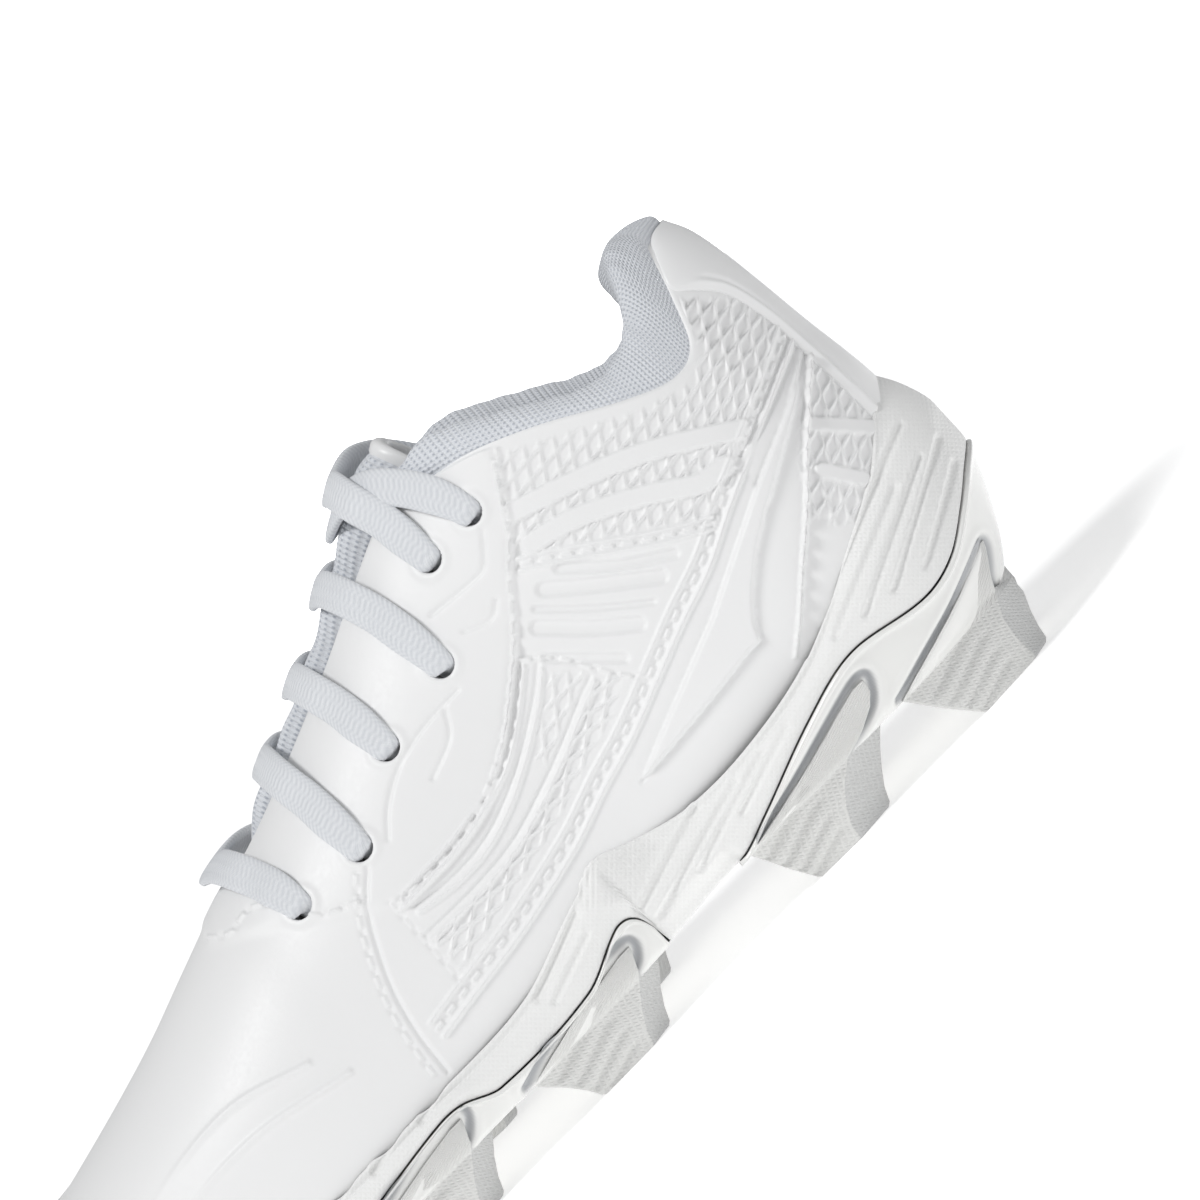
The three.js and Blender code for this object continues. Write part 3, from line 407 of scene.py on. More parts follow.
def read_sheet(sheet, x, z):
    """The sheet's value at any places, between its spots."""
    i = np.clip((x - sheet_x[0]) / PITCH, 0, len(sheet_x) - 1.001)
    j = np.clip((z - sheet_z[0]) / PITCH, 0, len(sheet_z) - 1.001)
    i0, j0 = i.astype(int), j.astype(int)
    u, v = i - i0, j - j0
    return mix(mix(sheet[i0, j0], sheet[i0 + 1, j0], u), mix(sheet[i0, j0 + 1], sheet[i0 + 1, j0 + 1], u), v)


def on_paper(points):
    """Where points of the shoe fall on the drawing: both sides carry the same one."""
    x = heel_x - points[..., 0] - origin[0]
    y = -abs(points[..., 1] + origin[1])
    z = points[..., 2]
    return (x * math.cos(camera_azimuth) - y * math.sin(camera_azimuth),
            z + (y + 25) * math.sin(camera_elevation))


print("drawing of", grid_x.shape, "spots, one every", PITCH, "mm")

# %% [markdown]
# ### The upper's pattern
#
# From the heel forwards: a field of waves crossed by smooth bars, two long sewn bands that fan out from the
# heel, a raised leaf between them, a ribbed panel, the sewn edge of the lace facing, and curved bars that
# run forward into a second field of waves.

# %% Drawing the upper
press = np.zeros(grid_x.shape)
quarter_field = inside([(21, 90), (13, 83), (10.8, 74), (20, 69), (30, 64.5), (44, 58), (50, 63), (60, 69.5),
    (72, 77),
                        (66, 88), (62, 92), (52, 87), (40, 80.5), (30, 77.5), (24, 80)])
lower_field = inside([(10.5, 66), (20, 60), (27, 53), (31, 46.5), (29, 42), (26, 40), (21, 43), (15, 47), (11, 49.5)])
front_field = inside([(130, 40), (118, 40), (108, 41), (98, 44), (90, 47), (82, 50.5), (77, 52.5), (74, 49.5),
                      (80, 46), (90, 43), (100, 39.5), (110, 37), (120, 35), (130, 33)])
between_field = inside([(95, 50), (88, 54.5), (83, 58.5), (79, 56), (78, 54.5), (86, 51.5), (94, 48)])
for field, pattern in ((quarter_field, waves(30)), (lower_field, waves(38)), (front_field, waves(12)),
                       (between_field, waves(24))):
    press += soften(field, 0.4) * (0.34 * pattern - 0.1)

smooth_bars = [
    [(67, 83.1), (57, 80), (48, 76.5), (40, 72.5), (29, 65.5)],
    [(69, 77.1), (62, 75.5), (55, 72.5), (47, 68), (41, 64), (35.5, 63)],
]
for points in smooth_bars:
    away, _ = from_line(pen(points), 3)
    cover = 1 - smooth(away, 1.5, 2.0)
    press = press * (1 - cover) + 0.42 * cover
for points in ([(19.5, 57.5), (12, 49.5)], [(24, 50.5), (20, 44.5)]):
    away, _ = from_line(pen(points), 3)
    cover = 1 - smooth(away, 1.1, 1.6)
    press = press * (1 - cover) + 0.35 * cover

main_band = [(9.5, 73), (20, 68), (30, 63.5), (40, 59), (50, 54), (60, 50.5), (70, 46.5), (80, 42.5), (90, 39.5),
             (100, 36), (110, 33.5), (120, 31.5), (131, 30), (140, 28.6)]
for lift, height in ((1.7, 0.35), (-1.7, 0.42)):
    line_mark(press, [(x, z + lift) for x, z in main_band], 0.8, height)
stitch_mark(press, main_band)
for start, end, mid in ((69.6, 65.5, (22, 64.8)), (67.6, 62, (20, 62.8)), (71.5, 67, (26, 64.8))):
    line_mark(press, [(10, start), mid, (34, end - 5.2)], 0.8, -0.34)
strap = [(10, 67), (20, 58.5), (30, 48.5), (38, 41.5), (44, 36), (49, 32)]
line_mark(press, [(x + 1.3, z - 1.2) for x, z in strap], 0.7, 0.5)
line_mark(press, [(x - 1.4, z + 1.2) for x, z in strap], 0.9, 0.3)
stitch_mark(press, strap)

leaf = inside([(84.5, 34), (75, 38), (65, 42), (55, 46), (50, 48.6), (40, 53.6), (30, 58.5), (20, 63), (12, 67.5),
               (20, 61.5), (28, 57), (35, 53), (42, 48.5), (48, 43.5), (51, 40), (52.5, 37.2), (56, 37), (65, 35.8),
               (75, 34.8)])
press += 0.75 * soften(leaf, 0.3)
line_mark(press, [(84.5, 34), (75, 34.8), (65, 35.8), (56, 37), (52.5, 37.2), (51, 40), (48, 43.5), (42, 48.5),
                  (35, 53)], 0.7, -0.3)

panel_row = [(73, 76), (68, 73), (60, 67.5), (52, 62), (44, 57.5)]
for shift in (-1.1, 1.1):
    line_mark(press, [(x + shift * 0.55, z - shift * 0.8) for x, z in panel_row], 0.7, 0.3)
stitch_mark(press, panel_row)
for points, width in (([(73, 70), (66.5, 64.5), (57, 57.2)], 2.6), ([(78.5, 66), (71.5, 59), (65.5, 54)], 2.6),
                      ([(68.5, 70.8), (61, 64), (52.5, 58.4)], 1.8), ([(76.5, 68.6), (69, 61.5), (61, 55)], 1.0),
                      ([(81, 61), (76.5, 56.5), (71.5, 51.5)], 1.6)):
    bar_mark(press, points, width, -0.42, edge=0.8)

facing_line = [(62.5, 92), (66, 87), (70, 81), (75, 76), (80, 70), (85, 65), (90, 61), (95, 57), (100, 54),
               (105, 51.5), (110, 50), (118, 49), (129, 48.5)]
for shift in (-1.5, 1.5):
    line_mark(press, [(x + shift * 0.75, z - shift * 0.6) for x, z in facing_line], 0.75, 0.38)
stitch_mark(press, [(x + 0.2, z + 0.1) for x, z in facing_line])
facing_field = inside([*facing_line, (138, 54), (148, 61), (160, 67), (160, 110), (60, 110)])
press += 0.35 * soften(facing_field, 0.7)
for points in ([(90, 80.5), (80, 79.7), (77, 80.5), (73, 85)], [(88, 74.5), (83, 72.7), (80, 74.5)],
               [(96, 68), (105, 67.5), (113, 65.5), (119, 62), (123, 58)], [(100, 67), (103, 63), (110, 60)]):
    line_mark(press, points, 0.9, -0.28)
for points in (
    [(129, 48.8), (118, 48.8), (110, 50), (100, 53), (92, 58), (85, 63.5)],
    [(128, 46), (120, 45), (112, 45.5), (104, 48), (96, 52), (88, 57), (83, 61)],
    [(130, 41), (118, 41), (108, 42), (98, 45), (90, 48), (82, 51.5), (78, 53)],
):
    line_mark(press, [(x, z - 0.9) for x, z in points], 0.9, 0.42)
    line_mark(press, [(x, z + 0.5) for x, z in points], 0.8, -0.25)
stitch_mark(press, [(85, 64.5), (80, 60), (77, 55), (74, 50), (72, 47.5)])
stitch_mark(press, [(130.5, 50), (130.8, 40), (131.3, 31)], height=0.18)
line_mark(press, [(129, 57), (134, 52), (138, 45), (141, 38), (143, 30), (144, 22)], 0.9, -0.4)
stitch_mark(press, [(131, 57.5), (136, 52), (140, 45), (143, 38), (145, 30), (146, 23)])
stitch_mark(press, [(159.5, 68), (155, 65.5), (150, 66.2), (146, 64), (141, 57), (133, 53.4)])
line_mark(press, [(160, 40), (176, 44), (195, 42), (214, 36)], 1.2, 0.4)
line_mark(press, [(156, 34), (176, 37.5), (197, 36), (216, 31)], 1.2, 0.4)

eyelets = [(72.6, 88.7), (83.4, 87.8), (95, 73.2), (112, 69.5), (127.7, 60.3), (142.4, 60.4)]
press *= 1.55
print("pressed pattern from", press.min().round(2), "to", press.max().round(2), "mm")

# %% [markdown]
# ### The sole's pattern
#
# The midsole is moulded foam: slanting grooves, a ribbed diamond at the arch and a fine knurl all over. The
# plates are smooth, with an arch-shaped recess above each stud.

# %% Drawing the sole
sole = np.zeros(grid_x.shape)
grooves = [
    [(43, 28.5), (17, 39.5)], [(36.5, 27.5), (10, 40)], [(30, 27), (5, 40)], [(23, 26), (6, 35)],
    [(49, 30), (8, 46.4)],
    [(81, 24), (101, 18)], [(73, 22.6), (99, 15.2)], [(66, 23.2), (88, 16)], [(60, 23.2), (76, 18)],
    [(106, 29), (126, 22.5)], [(109, 25.5), (124, 20)], [(110, 21.8), (122, 17.6)],
]
for x in range(132, 246, 12):
    grooves.append([(x + 3, 23.5 + 0.0008 * (x - 170) ** 2), (x + 21, 18.2 + 0.0008 * (x - 170) ** 2)])
for points in grooves:
    bar_mark(sole, points, 1.25, -0.55, edge=0.8)
    line_mark(sole, [(x, z + 1.15) for x, z in points], 0.8, 0.2)
rib_field = soften(inside([(92, 28), (101, 31), (106, 29.4), (108, 26), (100, 20), (90, 24)]), 0.4)
sole += rib_field * 0.16 * np.sin(2 * np.pi * (grid_x + grid_z) / 1.5)

arch_lines = [
    [(42.9, 12.4), (34, 15.0), (25, 17.5), (17, 20.3), (12.4, 21.8), (12.0, 20.6), (13.6, 18.2), (15.9, 15.4),
    (17.4, 12)],
    [(77, 12.4), (66, 15.2), (55, 18.4), (47, 20.6), (44.0, 20.4), (44.0, 18.4), (46.5, 15.6), (50, 14),
    (55.1, 12.2)],
]
for x in (134.5, 175.5, 218):
    arch_lines.append([(x + 2, 10.2), (x - 8, 13.2), (x - 19, 16.0), (x - 27.5, 16.6), (x - 29.2, 15.4),
        (x - 28.6, 13.4),
                       (x - 26, 11.2), (x - 23, 9.2)])
plate_press, groove_painted_shade = np.zeros(grid_x.shape), np.zeros(grid_x.shape)
for points in arch_lines:
    away, _ = from_line(pen(points), 4)
    bowl = soften(inside(points), 0.3)
    plate_press -= 0.75 * np.exp(-((away / 0.75) ** 2)) + 0.35 * bowl
    plate_press += 0.25 * np.exp(-(((away - 1.6) / 0.8) ** 2)) * (1 - bowl)
    # The line of each arch groove is painted grey: painted shade in the groove.
    groove_painted_shade = np.maximum(groove_painted_shade, np.exp(-((away / 0.8) ** 4)))
print(len(grooves), "grooves and", len(arch_lines), "recesses drawn")

# %% [markdown]
# ## Materials
#
# Everything is white or a light cool grey, so the finishes must do the telling apart: coated synthetic
# leather with a satin sheen, dull knitted mesh, braided polyester, moulded foam, glossy and matte plastic.

# %% Material tools
def srgb(code):
    """A hex colour as the linear values that shaders use."""
    parts = [int(code[k:k + 2], 16) / 255 for k in (1, 3, 5)]
    return tuple(p / 12.92 if p <= 0.04045 else ((p + 0.055) / 1.055) ** 2.4 for p in parts) + (1.0,)


def add_node(material, kind, links=None, **settings):
    """One node, with its settings, and its inputs set to numbers or linked to other nodes' outputs."""
    node = material.node_tree.nodes.new(kind)
    for name, value in settings.items():
        setattr(node, name, value)
    for name, value in (links or {}).items():
        if isinstance(value, bpy.types.NodeSocket):
            material.node_tree.links.new(value, node.inputs[name])
        else:
            node.inputs[name].default_value = value
    return node


def finish(name, colour, roughness, ior=1.46, **shader):
    """A new material and its shader node."""
    material = bpy.data.materials.new(name)
    material.use_nodes = True
    material.diffuse_color = srgb(colour)
    shade = material.node_tree.nodes["Principled BSDF"]
    shade.inputs["Base Color"].default_value = srgb(colour)
    shade.inputs["Roughness"].default_value = roughness
    shade.inputs["IOR"].default_value = ior
    for key, value in shader.items():
        shade.inputs[key.replace("_", " ")].default_value = value
    return material, shade


def sine_of(material, value, wavelength):
    """A wave between -1 and 1 along a value in millimetres."""
    turns = add_node(material, "ShaderNodeMath", {0: value, 1: 2 * math.pi / wavelength}, operation="MULTIPLY")
    return add_node(material, "ShaderNodeMath", {0: turns.outputs[0]}, operation="SINE").outputs[0]


def pattern_mm(material):
    """The piece's pattern map, in millimetres across and along."""
    place = add_node(material, "ShaderNodeUVMap", uv_map="pattern")
    wide = add_node(material, "ShaderNodeVectorMath", {0: place.outputs[0], 1: (100, 100, 0)}, operation="MULTIPLY")
    parts = add_node(material, "ShaderNodeSeparateXYZ", {0: wide.outputs[0]})
    return parts.outputs[0], parts.outputs[1]


def tinted(material, shade, factor, plain, tint):
    """The base colour runs from plain to tint as factor goes from 0 to 1."""
    blend = add_node(material, "ShaderNodeMix", {"Factor": factor}, data_type="RGBA")
    blend.inputs[6].default_value, blend.inputs[7].default_value = srgb(plain), srgb(tint)
    material.node_tree.links.new(blend.outputs[2], shade.inputs["Base Color"])


def bumped(material, shade, height, strength, depth_mm):
    bump = add_node(material, "ShaderNodeBump", {"Height": height, "Strength": strength, "Distance": depth_mm * MM})
    material.node_tree.links.new(bump.outputs[0], shade.inputs["Normal"])


# %% [markdown]
# ### Coated synthetic leather
#
# Polyurethane on a woven back, hot pressed. Its grain is about 0.7 mm wide and very shallow, which only
# breaks up the highlights. The heel tab is the same stuff pressed smooth, so it is glossier.

# %% Synthetic leather
def coated_leather(name, colour, roughness, grain_mm, grain_depth_mm):
    material, shade = finish(name, colour, roughness, ior=1.48)
    place = add_node(material, "ShaderNodeTexCoord")
    grain = add_node(material, "ShaderNodeTexNoise",
                     {"Vector": place.outputs["Object"], "Scale": 1 / (grain_mm * MM), "Detail": 3.0})
    bumped(material, shade, grain.outputs["Fac"], 0.35, grain_depth_mm)
    shine = add_node(material, "ShaderNodeMapRange", {"Value": grain.outputs["Fac"], "From Min": 0.3, "From Max": 0.7,
                                                      "To Min": roughness - 0.05, "To Max": roughness + 0.07})
    material.node_tree.links.new(shine.outputs[0], shade.inputs["Roughness"])
    # Painted shade: the leather darkens towards this grey where the painted shade values are high, as in the eyelet
    # holes.
    painted_shade = add_node(material, "ShaderNodeAttribute", attribute_name="painted_shade")
    tinted(material, shade, painted_shade.outputs["Fac"], colour, "#4A4C50")
    return material


synthetic_leather = coated_leather("coated_synthetic_leather", "#F0F0F0", 0.46, 0.7, 0.05)
smooth_leather = coated_leather("smooth_synthetic_leather", "#F2F2F2", 0.33, 1.6, 0.02)

# %% [markdown]
# ### Knitted spacer mesh
#
# The collar and tongue are faced with a two-layer polyester knit. Its loops stand in offset rows about
# 1.3 mm apart, with a small hole between them that is painted darker as shade.

# %% Knitted mesh
def knitted_mesh(name, yarn, hole_shade, spacing_mm):
    material, shade = finish(name, yarn, 0.95, Sheen_Weight=0.25, Sheen_Roughness=0.6)
    along, across = pattern_mm(material)
    both = add_node(material, "ShaderNodeMath", {0: along, 1: across}, operation="ADD").outputs[0]
    apart = add_node(material, "ShaderNodeMath", {0: along, 1: across}, operation="SUBTRACT").outputs[0]
    one, two = sine_of(material, both, spacing_mm * 1.6), sine_of(material, apart, spacing_mm * 1.6)
    lattice = add_node(material, "ShaderNodeMath", {0: one, 1: two}, operation="MULTIPLY").outputs[0]
    # The holes between the loops are painted darker: painted shade.
    pit_shade = add_node(material, "ShaderNodeMapRange", {"Value": lattice, "From Min": 0.35, "From Max": 0.85})
    tinted(material, shade, pit_shade.outputs[0], yarn, hole_shade)
    thread = sine_of(material, along, spacing_mm / 2.4)
    loops = add_node(material, "ShaderNodeMath", {0: thread, 1: 0.18, 2: lattice},
        operation="MULTIPLY_ADD").outputs[0]
    flat = add_node(material, "ShaderNodeMath", {0: loops, 1: -1.0}, operation="MULTIPLY").outputs[0]
    bumped(material, shade, flat, 0.9, 0.16)
    return material


collar_mesh = knitted_mesh("knitted_spacer_mesh", "#E4E7EC", "#B9BEC7", 1.05)
lining_mesh = knitted_mesh("knitted_lining", "#DADDE2", "#B4B9C1", 1.4)

# %% [markdown]
# ### Braid, foam and plastics
#
# The lace is a flat polyester braid with a slight sheen. The midsole is moulded EVA foam with a fine
# diamond knurl. Plates and studs are one TPU, glossy where the mould was polished and matte with a coarser
# knurl on the studs, where the mould was etched to hide scuffs.

# %% Braid, foam and plastics
def braided_polyester():
    material, shade = finish("braided_polyester", "#E4E6EA", 0.75, Sheen_Weight=0.3, Sheen_Roughness=0.5)
    along, across = pattern_mm(material)
    yarn = sine_of(material, add_node(material, "ShaderNodeMath", {0: along, 1: across},
        operation="ADD").outputs[0], 0.4)
    bumped(material, shade, yarn, 0.3, 0.06)
    # Painted shade: the braid darkens towards this grey in the troughs between its chevrons.
    painted_shade = add_node(material, "ShaderNodeAttribute", attribute_name="painted_shade")
    tinted(material, shade, painted_shade.outputs["Fac"], "#E9EBEE", "#C2C6CC")
    return material


def knurled(name, colour, tint, roughness, pitch_mm, depth_mm, strength=0.6):
    """A moulded surface with a fine raised diamond pattern."""
    material, shade = finish(name, colour, roughness, ior=1.5)
    along, across = pattern_mm(material)
    both = add_node(material, "ShaderNodeMath", {0: along, 1: across}, operation="ADD").outputs[0]
    apart = add_node(material, "ShaderNodeMath", {0: along, 1: across}, operation="SUBTRACT").outputs[0]
    one, two = sine_of(material, both, pitch_mm), sine_of(material, apart, pitch_mm)
    diamonds = add_node(material, "ShaderNodeMath", {0: one, 1: two}, operation="MAXIMUM").outputs[0]
    bumped(material, shade, diamonds, strength, depth_mm)
    painted_shade = add_node(material, "ShaderNodeAttribute", attribute_name="painted_shade")
    tinted(material, shade, painted_shade.outputs["Fac"], colour, tint)
    return material


def moulded(name, colour, tint, roughness, grain_mm, strength, ior=1.5, **shader):
    """A plain moulded surface, with a faint unevenness that keeps its highlights from being perfect."""
    material, shade = finish(name, colour, roughness, ior=ior, **shader)
    place = add_node(material, "ShaderNodeTexCoord")
    wander = add_node(material, "ShaderNodeTexNoise",
                      {"Vector": place.outputs["Object"], "Scale": 1 / (grain_mm * MM), "Detail": 2.0})
    bumped(material, shade, wander.outputs["Fac"], strength, 0.08)
    painted_shade = add_node(material, "ShaderNodeAttribute", attribute_name="painted_shade")
    tinted(material, shade, painted_shade.outputs["Fac"], colour, tint)
    return material


lace_braid = braided_polyester()
# The foam's dark tint is painted shade, used in the undercut above the plates.
eva_foam = knurled("moulded_eva_foam", "#EFEFEE", "#55565A", 0.62, 1.15, 0.06, strength=0.45)
# The glossy plastic's grey tint is painted shade, used along the plates' arch grooves.
glossy_tpu = moulded("glossy_tpu", "#EBEBE9", "#A9ABAE", 0.16, 9, 0.15, Coat_Weight=0.3, Coat_Roughness=0.08)
# The matte plastic's darker grey tint is painted shade on the studs' rear faces.
matte_tpu = knurled("matte_knurled_tpu", "#DFDFDD", "#96989B", 0.5, 1.3, 0.1)
fibre_board = moulded("fibre_board", "#DAD6CA", "#B9B4A6", 0.9, 0.5, 0.5)
sockliner_cloth = knitted_mesh("sockliner_cloth", "#D2D4D8", "#B4B7BD", 0.9)
aglet_film = moulded("aglet_film", "#DDE0E3", "#B8BCC2", 0.2, 3, 0.1, Coat_Weight=0.3)
for name, material in {"heel_counter": fibre_board, "toe_puff": fibre_board, "strobel_board": fibre_board,
                       "aglet_a": aglet_film, "aglet_b": aglet_film}.items():
    node = frame["nodes"][name]
    node.data.materials.clear()
    node.data.materials.append(material)
print("materials:", ", ".join(sorted(m.name for m in bpy.data.materials if m.users)))

# %% [markdown]
# ## The upper
#
# One sheet runs from the toe round the heel and back to the toe. Its top edge follows the ankle opening and
# the throat, where the edge is rolled over, and in front of the throat its two sides are one surface.

# %% Edges of the upper
side_shift = math.sin(camera_azimuth)


def from_side(points):
    """Points read off the side view, moved along the foot to where they lie on the shoe's flank."""
    points = np.array(points, float)
    points[:, 0] -= half_width(share(points[:, 0])) * side_shift * smooth(points[:, 0], 2, 20)
    return points


top_line = curve(from_side([(0, 100.4), (4, 100), (7, 98.8), (12.6, 90.4), (18.8, 81.8), (26, 79.7), (36, 82.9),
                            (50, 90), (60, 94.4), (68, 97), (84, 100), (90, 100)]))
throat_half = curve([(80, 15.5), (88, 14), (106, 12.2), (128, 10.8), (143, 8.8), (151, 6), (156, 0)])
midsole_rim = curve(from_side([(0, 55.5), (6, 49.3), (15, 43.6), (31, 37), (48, 29.6), (67, 26), (82, 25.7),
    (93, 28.3),
                               (101, 31), (107, 29), (126, 22.4), (150, 21.5), (180, 21.5), (208, 22.5), (237, 26),
                               (255, 29.4), (262, 30.6)]))


def top_edge(s):
    s = np.asarray(s, float)
    throat = np.where(s > 60, turn_from_ridge(s, throat_half(s)), 0)
    return np.maximum(np.where(s < 84, turn_at(s, top_line(s)), 0), throat)


def around(spacing, start=-1.0, end=1.0, far_spacing=None):
    """Places round the foot, evenly spaced along its outline, and wider apart beyond 165 mm if asked."""
    a = np.linspace(start, end, 6001)
    line = outline_point(a, 0, 40)
    length = run_length(line)
    if far_spacing:
        weight = np.where(station(abs(a[1:])) > 168, spacing / far_spacing, 1)
        length = np.concatenate([[0], np.cumsum(np.diff(length) * weight)])
    count = int(round(length[-1] / spacing / 2)) * 2 + 1
    return even(a, length, count)


# %% Upper sheet
def find_place(x, z):
    """The station and height on the flank that a spot of the drawing shows."""
    s, height = x, z
    for _ in range(12):
        a = -float(share(s))
        seen = on_paper(last_point(a, turn_at(s, height))[None, :])
        s, height = s + (x - seen[0][0]), height + (z - seen[1][0])
    return s, height


eyelet_places = [find_place(*spot) for spot in eyelets]
mesh_step = 0.29
places = around(mesh_step, far_spacing=0.7)
rows = int(105 / mesh_step)
stations = station(abs(places))
edges = top_edge(stations)
fine = np.linspace(0, 1, 500)[:, None]
fine_turn = edges[None] + (1 - edges[None]) * fine
fine_points = last_point(places[None], fine_turn)
fine_length = run_length(fine_points)
turns = np.stack([even(fine_turn[:, k], fine_length[:, k], rows) for k in range(len(places))], 1)
upper_points = last_point(places[None], turns)
upper_normal = grid_normals(upper_points)
closed_top = stations > 156
mirror = upper_normal[0, ::-1] * (1, -1, 1)
upper_normal[0, closed_top] = (upper_normal[0] + mirror)[closed_top]
upper_normal[:, 0] = upper_normal[:, -1] = (upper_normal[:, 0] + upper_normal[:, -1] * (1, 1, 1)) / 2
upper_normal /= np.linalg.norm(upper_normal, axis=-1, keepdims=True)
if upper_normal[rows // 2, len(places) // 4, 1] > 0:
    upper_normal = -upper_normal
paper = on_paper(upper_points)
lift = read_sheet(press, *paper) * smooth(np.arange(rows)[:, None] * mesh_step, 0.2, 1.2)
lift *= smooth(200 - stations, 0, 30)[None]

toe_line = 218 - 26 * np.clip(abs(turns) / 0.9, 0, 1) ** 3
into_toe = stations[None] - toe_line
toe_cap = smooth(into_toe, 0, 1.0)
lift += 0.7 * toe_cap
for offset in (1.8, 4.0):
    lift -= 0.22 * np.exp(-(((into_toe - offset) / 0.5) ** 2))
    beat = np.mod(run_length(upper_points)[:, :], 3.4)
    lift += 0.4 * np.exp(-(((into_toe - offset) / 0.38) ** 2)) * smooth(beat, 0, 0.5) * (1 - smooth(beat, 2.1, 2.6))

# The eyelet holes are painted dark grey: painted shade inside the holes.
painted_shade = np.zeros(turns.shape)
for s, z in eyelet_places:
    for side in (-1, 1):
        middle = last_point(side * share(s), turn_at(s, z))
        away = np.linalg.norm(upper_points - middle, axis=-1)
        lift += 0.3 * np.exp(-(((away - 3.3) / 0.8) ** 2))
        lift -= 3.2 * (1 - smooth(away, 1.9, 2.6)) + lift * (1 - smooth(away, 1.9, 2.6))
        painted_shade = np.maximum(painted_shade, 0.75 * (1 - smooth(away, 2.0, 2.7)))
upper_skin = upper_points + upper_normal * lift[..., None]

# The rolled edge: a half round of the sheet's thickness, then a short way down inside.
thickness = 1.5
along_edge = np.gradient(upper_skin[0], axis=0)
out_of_edge = np.cross(along_edge, upper_normal[0])
out_of_edge /= np.maximum(np.linalg.norm(out_of_edge, axis=-1, keepdims=True), 1e-9)
toward = upper_skin[0] - upper_skin[3]
out_of_edge *= np.where((out_of_edge * toward).sum(-1) < 0, -1, 1)[:, None]
roll = []
for angle in np.linspace(math.pi, 0, 8)[:-1]:
    roll.append(upper_skin[0] + thickness / 2 * (math.sin(angle) * out_of_edge - (1 - math.cos(angle)) * upper_normal[0]))
inner_rows = [roll[0] - out_of_edge * deep for deep in (6, 4, 2, 1)]
roll_rows = np.stack(inner_rows + roll)
upper_all = np.concatenate([roll_rows, upper_skin])
count = len(places)
upper_faces = grid_faces(len(upper_all), count)
row_of, column_of = (upper_faces[:, 0] // count), (upper_faces[:, 0] % count)
open_edge = (stations[column_of] < 155.5) & (stations[np.minimum(column_of + 1, count - 1)] < 155.5)
upper_faces = upper_faces[(row_of >= len(roll_rows)) | open_edge]
joined = np.arange(len(upper_all) * count)
ridge_row = len(roll_rows) * count
closed = np.flatnonzero(closed_top[: count // 2])
joined[ridge_row + count - 1 - closed] = ridge_row + closed
toe_rows = np.arange(len(roll_rows), len(upper_all)) * count
joined[toe_rows + count - 1] = joined[toe_rows]
upper_faces = joined[upper_faces]
used = np.unique(upper_faces)
renumber = np.zeros(len(joined), int)
renumber[used] = np.arange(len(used))
paper_all = np.stack(on_paper(upper_all), -1)
eyelet_painted_shade = np.concatenate([np.zeros((len(roll_rows), count)), painted_shade])
upper = make_piece("upper", upper_all.reshape(-1, 3)[used], renumber[upper_faces], synthetic_leather,
                   map_mm=paper_all.reshape(-1, 2)[used], painted_shade=eyelet_painted_shade.ravel()[used])
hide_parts("quarter_lateral", "quarter_medial", "vamp", "facing_lateral", "facing_medial", "toe_cap")
print("upper:", len(upper.data.vertices), "points")

# %% [markdown]
# ## The heel tab
#
# A smooth patch that wraps the back of the heel, from the midsole up to the collar. It could be a bulge in
# the upper, but a real tab is a piece of its own with a piped edge, so it gets its own pillowed sheet.

# %% Heel tab
tab_front = [(17.6, 98.6), (19.4, 94), (19.8, 91.2), (17, 88.6), (14.4, 85.8), (12.9, 82.6), (11.9, 78.5),
    (11.3, 74.5),
             (11, 69), (10.8, 60), (10.6, 53), (10.8, 49)]
tab_places = np.array([find_place(*spot) for spot in tab_front])[::-1]
tab_reach = curve([(z, float(share(s))) for s, z in tab_places])
tab_z = np.linspace(50, 100.3, 190)
tab_u = np.linspace(-1, 1, 120)
corner = np.sqrt(1 - np.clip((tab_z - 96.5) / 4.2, 0, 1) ** 2) * 0.55 + 0.45
tab_a = (tab_reach(tab_z) * corner)[:, None] * tab_u
tab_s = station(abs(tab_a))
tab_points = last_point(tab_a, turn_at(tab_s, tab_z[:, None]))
tab_normal = grid_normals(tab_points)
tab_normal *= -1 if tab_normal[90, 60, 0] < 0 else 1
rim = 1 - abs(tab_u[None]) ** 10
tab_out = 0.25 + 0.85 * rim * np.ones(tab_a.shape)
piping = 0.35 * np.exp(-(((abs(tab_u[None]) - 0.9) / 0.05) ** 2))
piping = piping - 0.3 * np.exp(-(((abs(tab_u[None]) - 0.8) / 0.04) ** 2))
tab_out += piping * (1 - smooth(tab_z, 87.5, 90.5))[:, None]
tab_out *= smooth(tab_z, 49.9, 51)[:, None]


def closed_sheet(outer, inner):
    """Points and faces of a solid between two grids of the same size."""
    rows_, columns_ = outer.shape[:2]
    points = np.concatenate([outer.reshape(-1, 3), inner.reshape(-1, 3)])
    half = rows_ * columns_
    front = grid_faces(rows_, columns_)
    back = grid_faces(rows_, columns_, half)[:, ::-1]
    edge = np.concatenate([np.arange(columns_), np.arange(1, rows_) * columns_ + columns_ - 1,
                           (rows_ - 1) * columns_ + np.arange(columns_ - 2, -1, -1),
                           np.arange(rows_ - 2, 0, -1) * columns_])
    following = np.roll(edge, -1)
    sides = np.stack([following, edge, edge + half, following + half], -1)
    return points, np.concatenate([front, back, sides])


tab_outer = tab_points + tab_normal * tab_out[..., None]
tab_inner = tab_points - tab_normal * 0.6
points, faces = closed_sheet(tab_outer, tab_inner)
heel_tab = make_piece("heel_tab_cover", points, faces, smooth_leather, flip=True)
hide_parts("heel_tab")
print("heel tab:", len(points), "points")

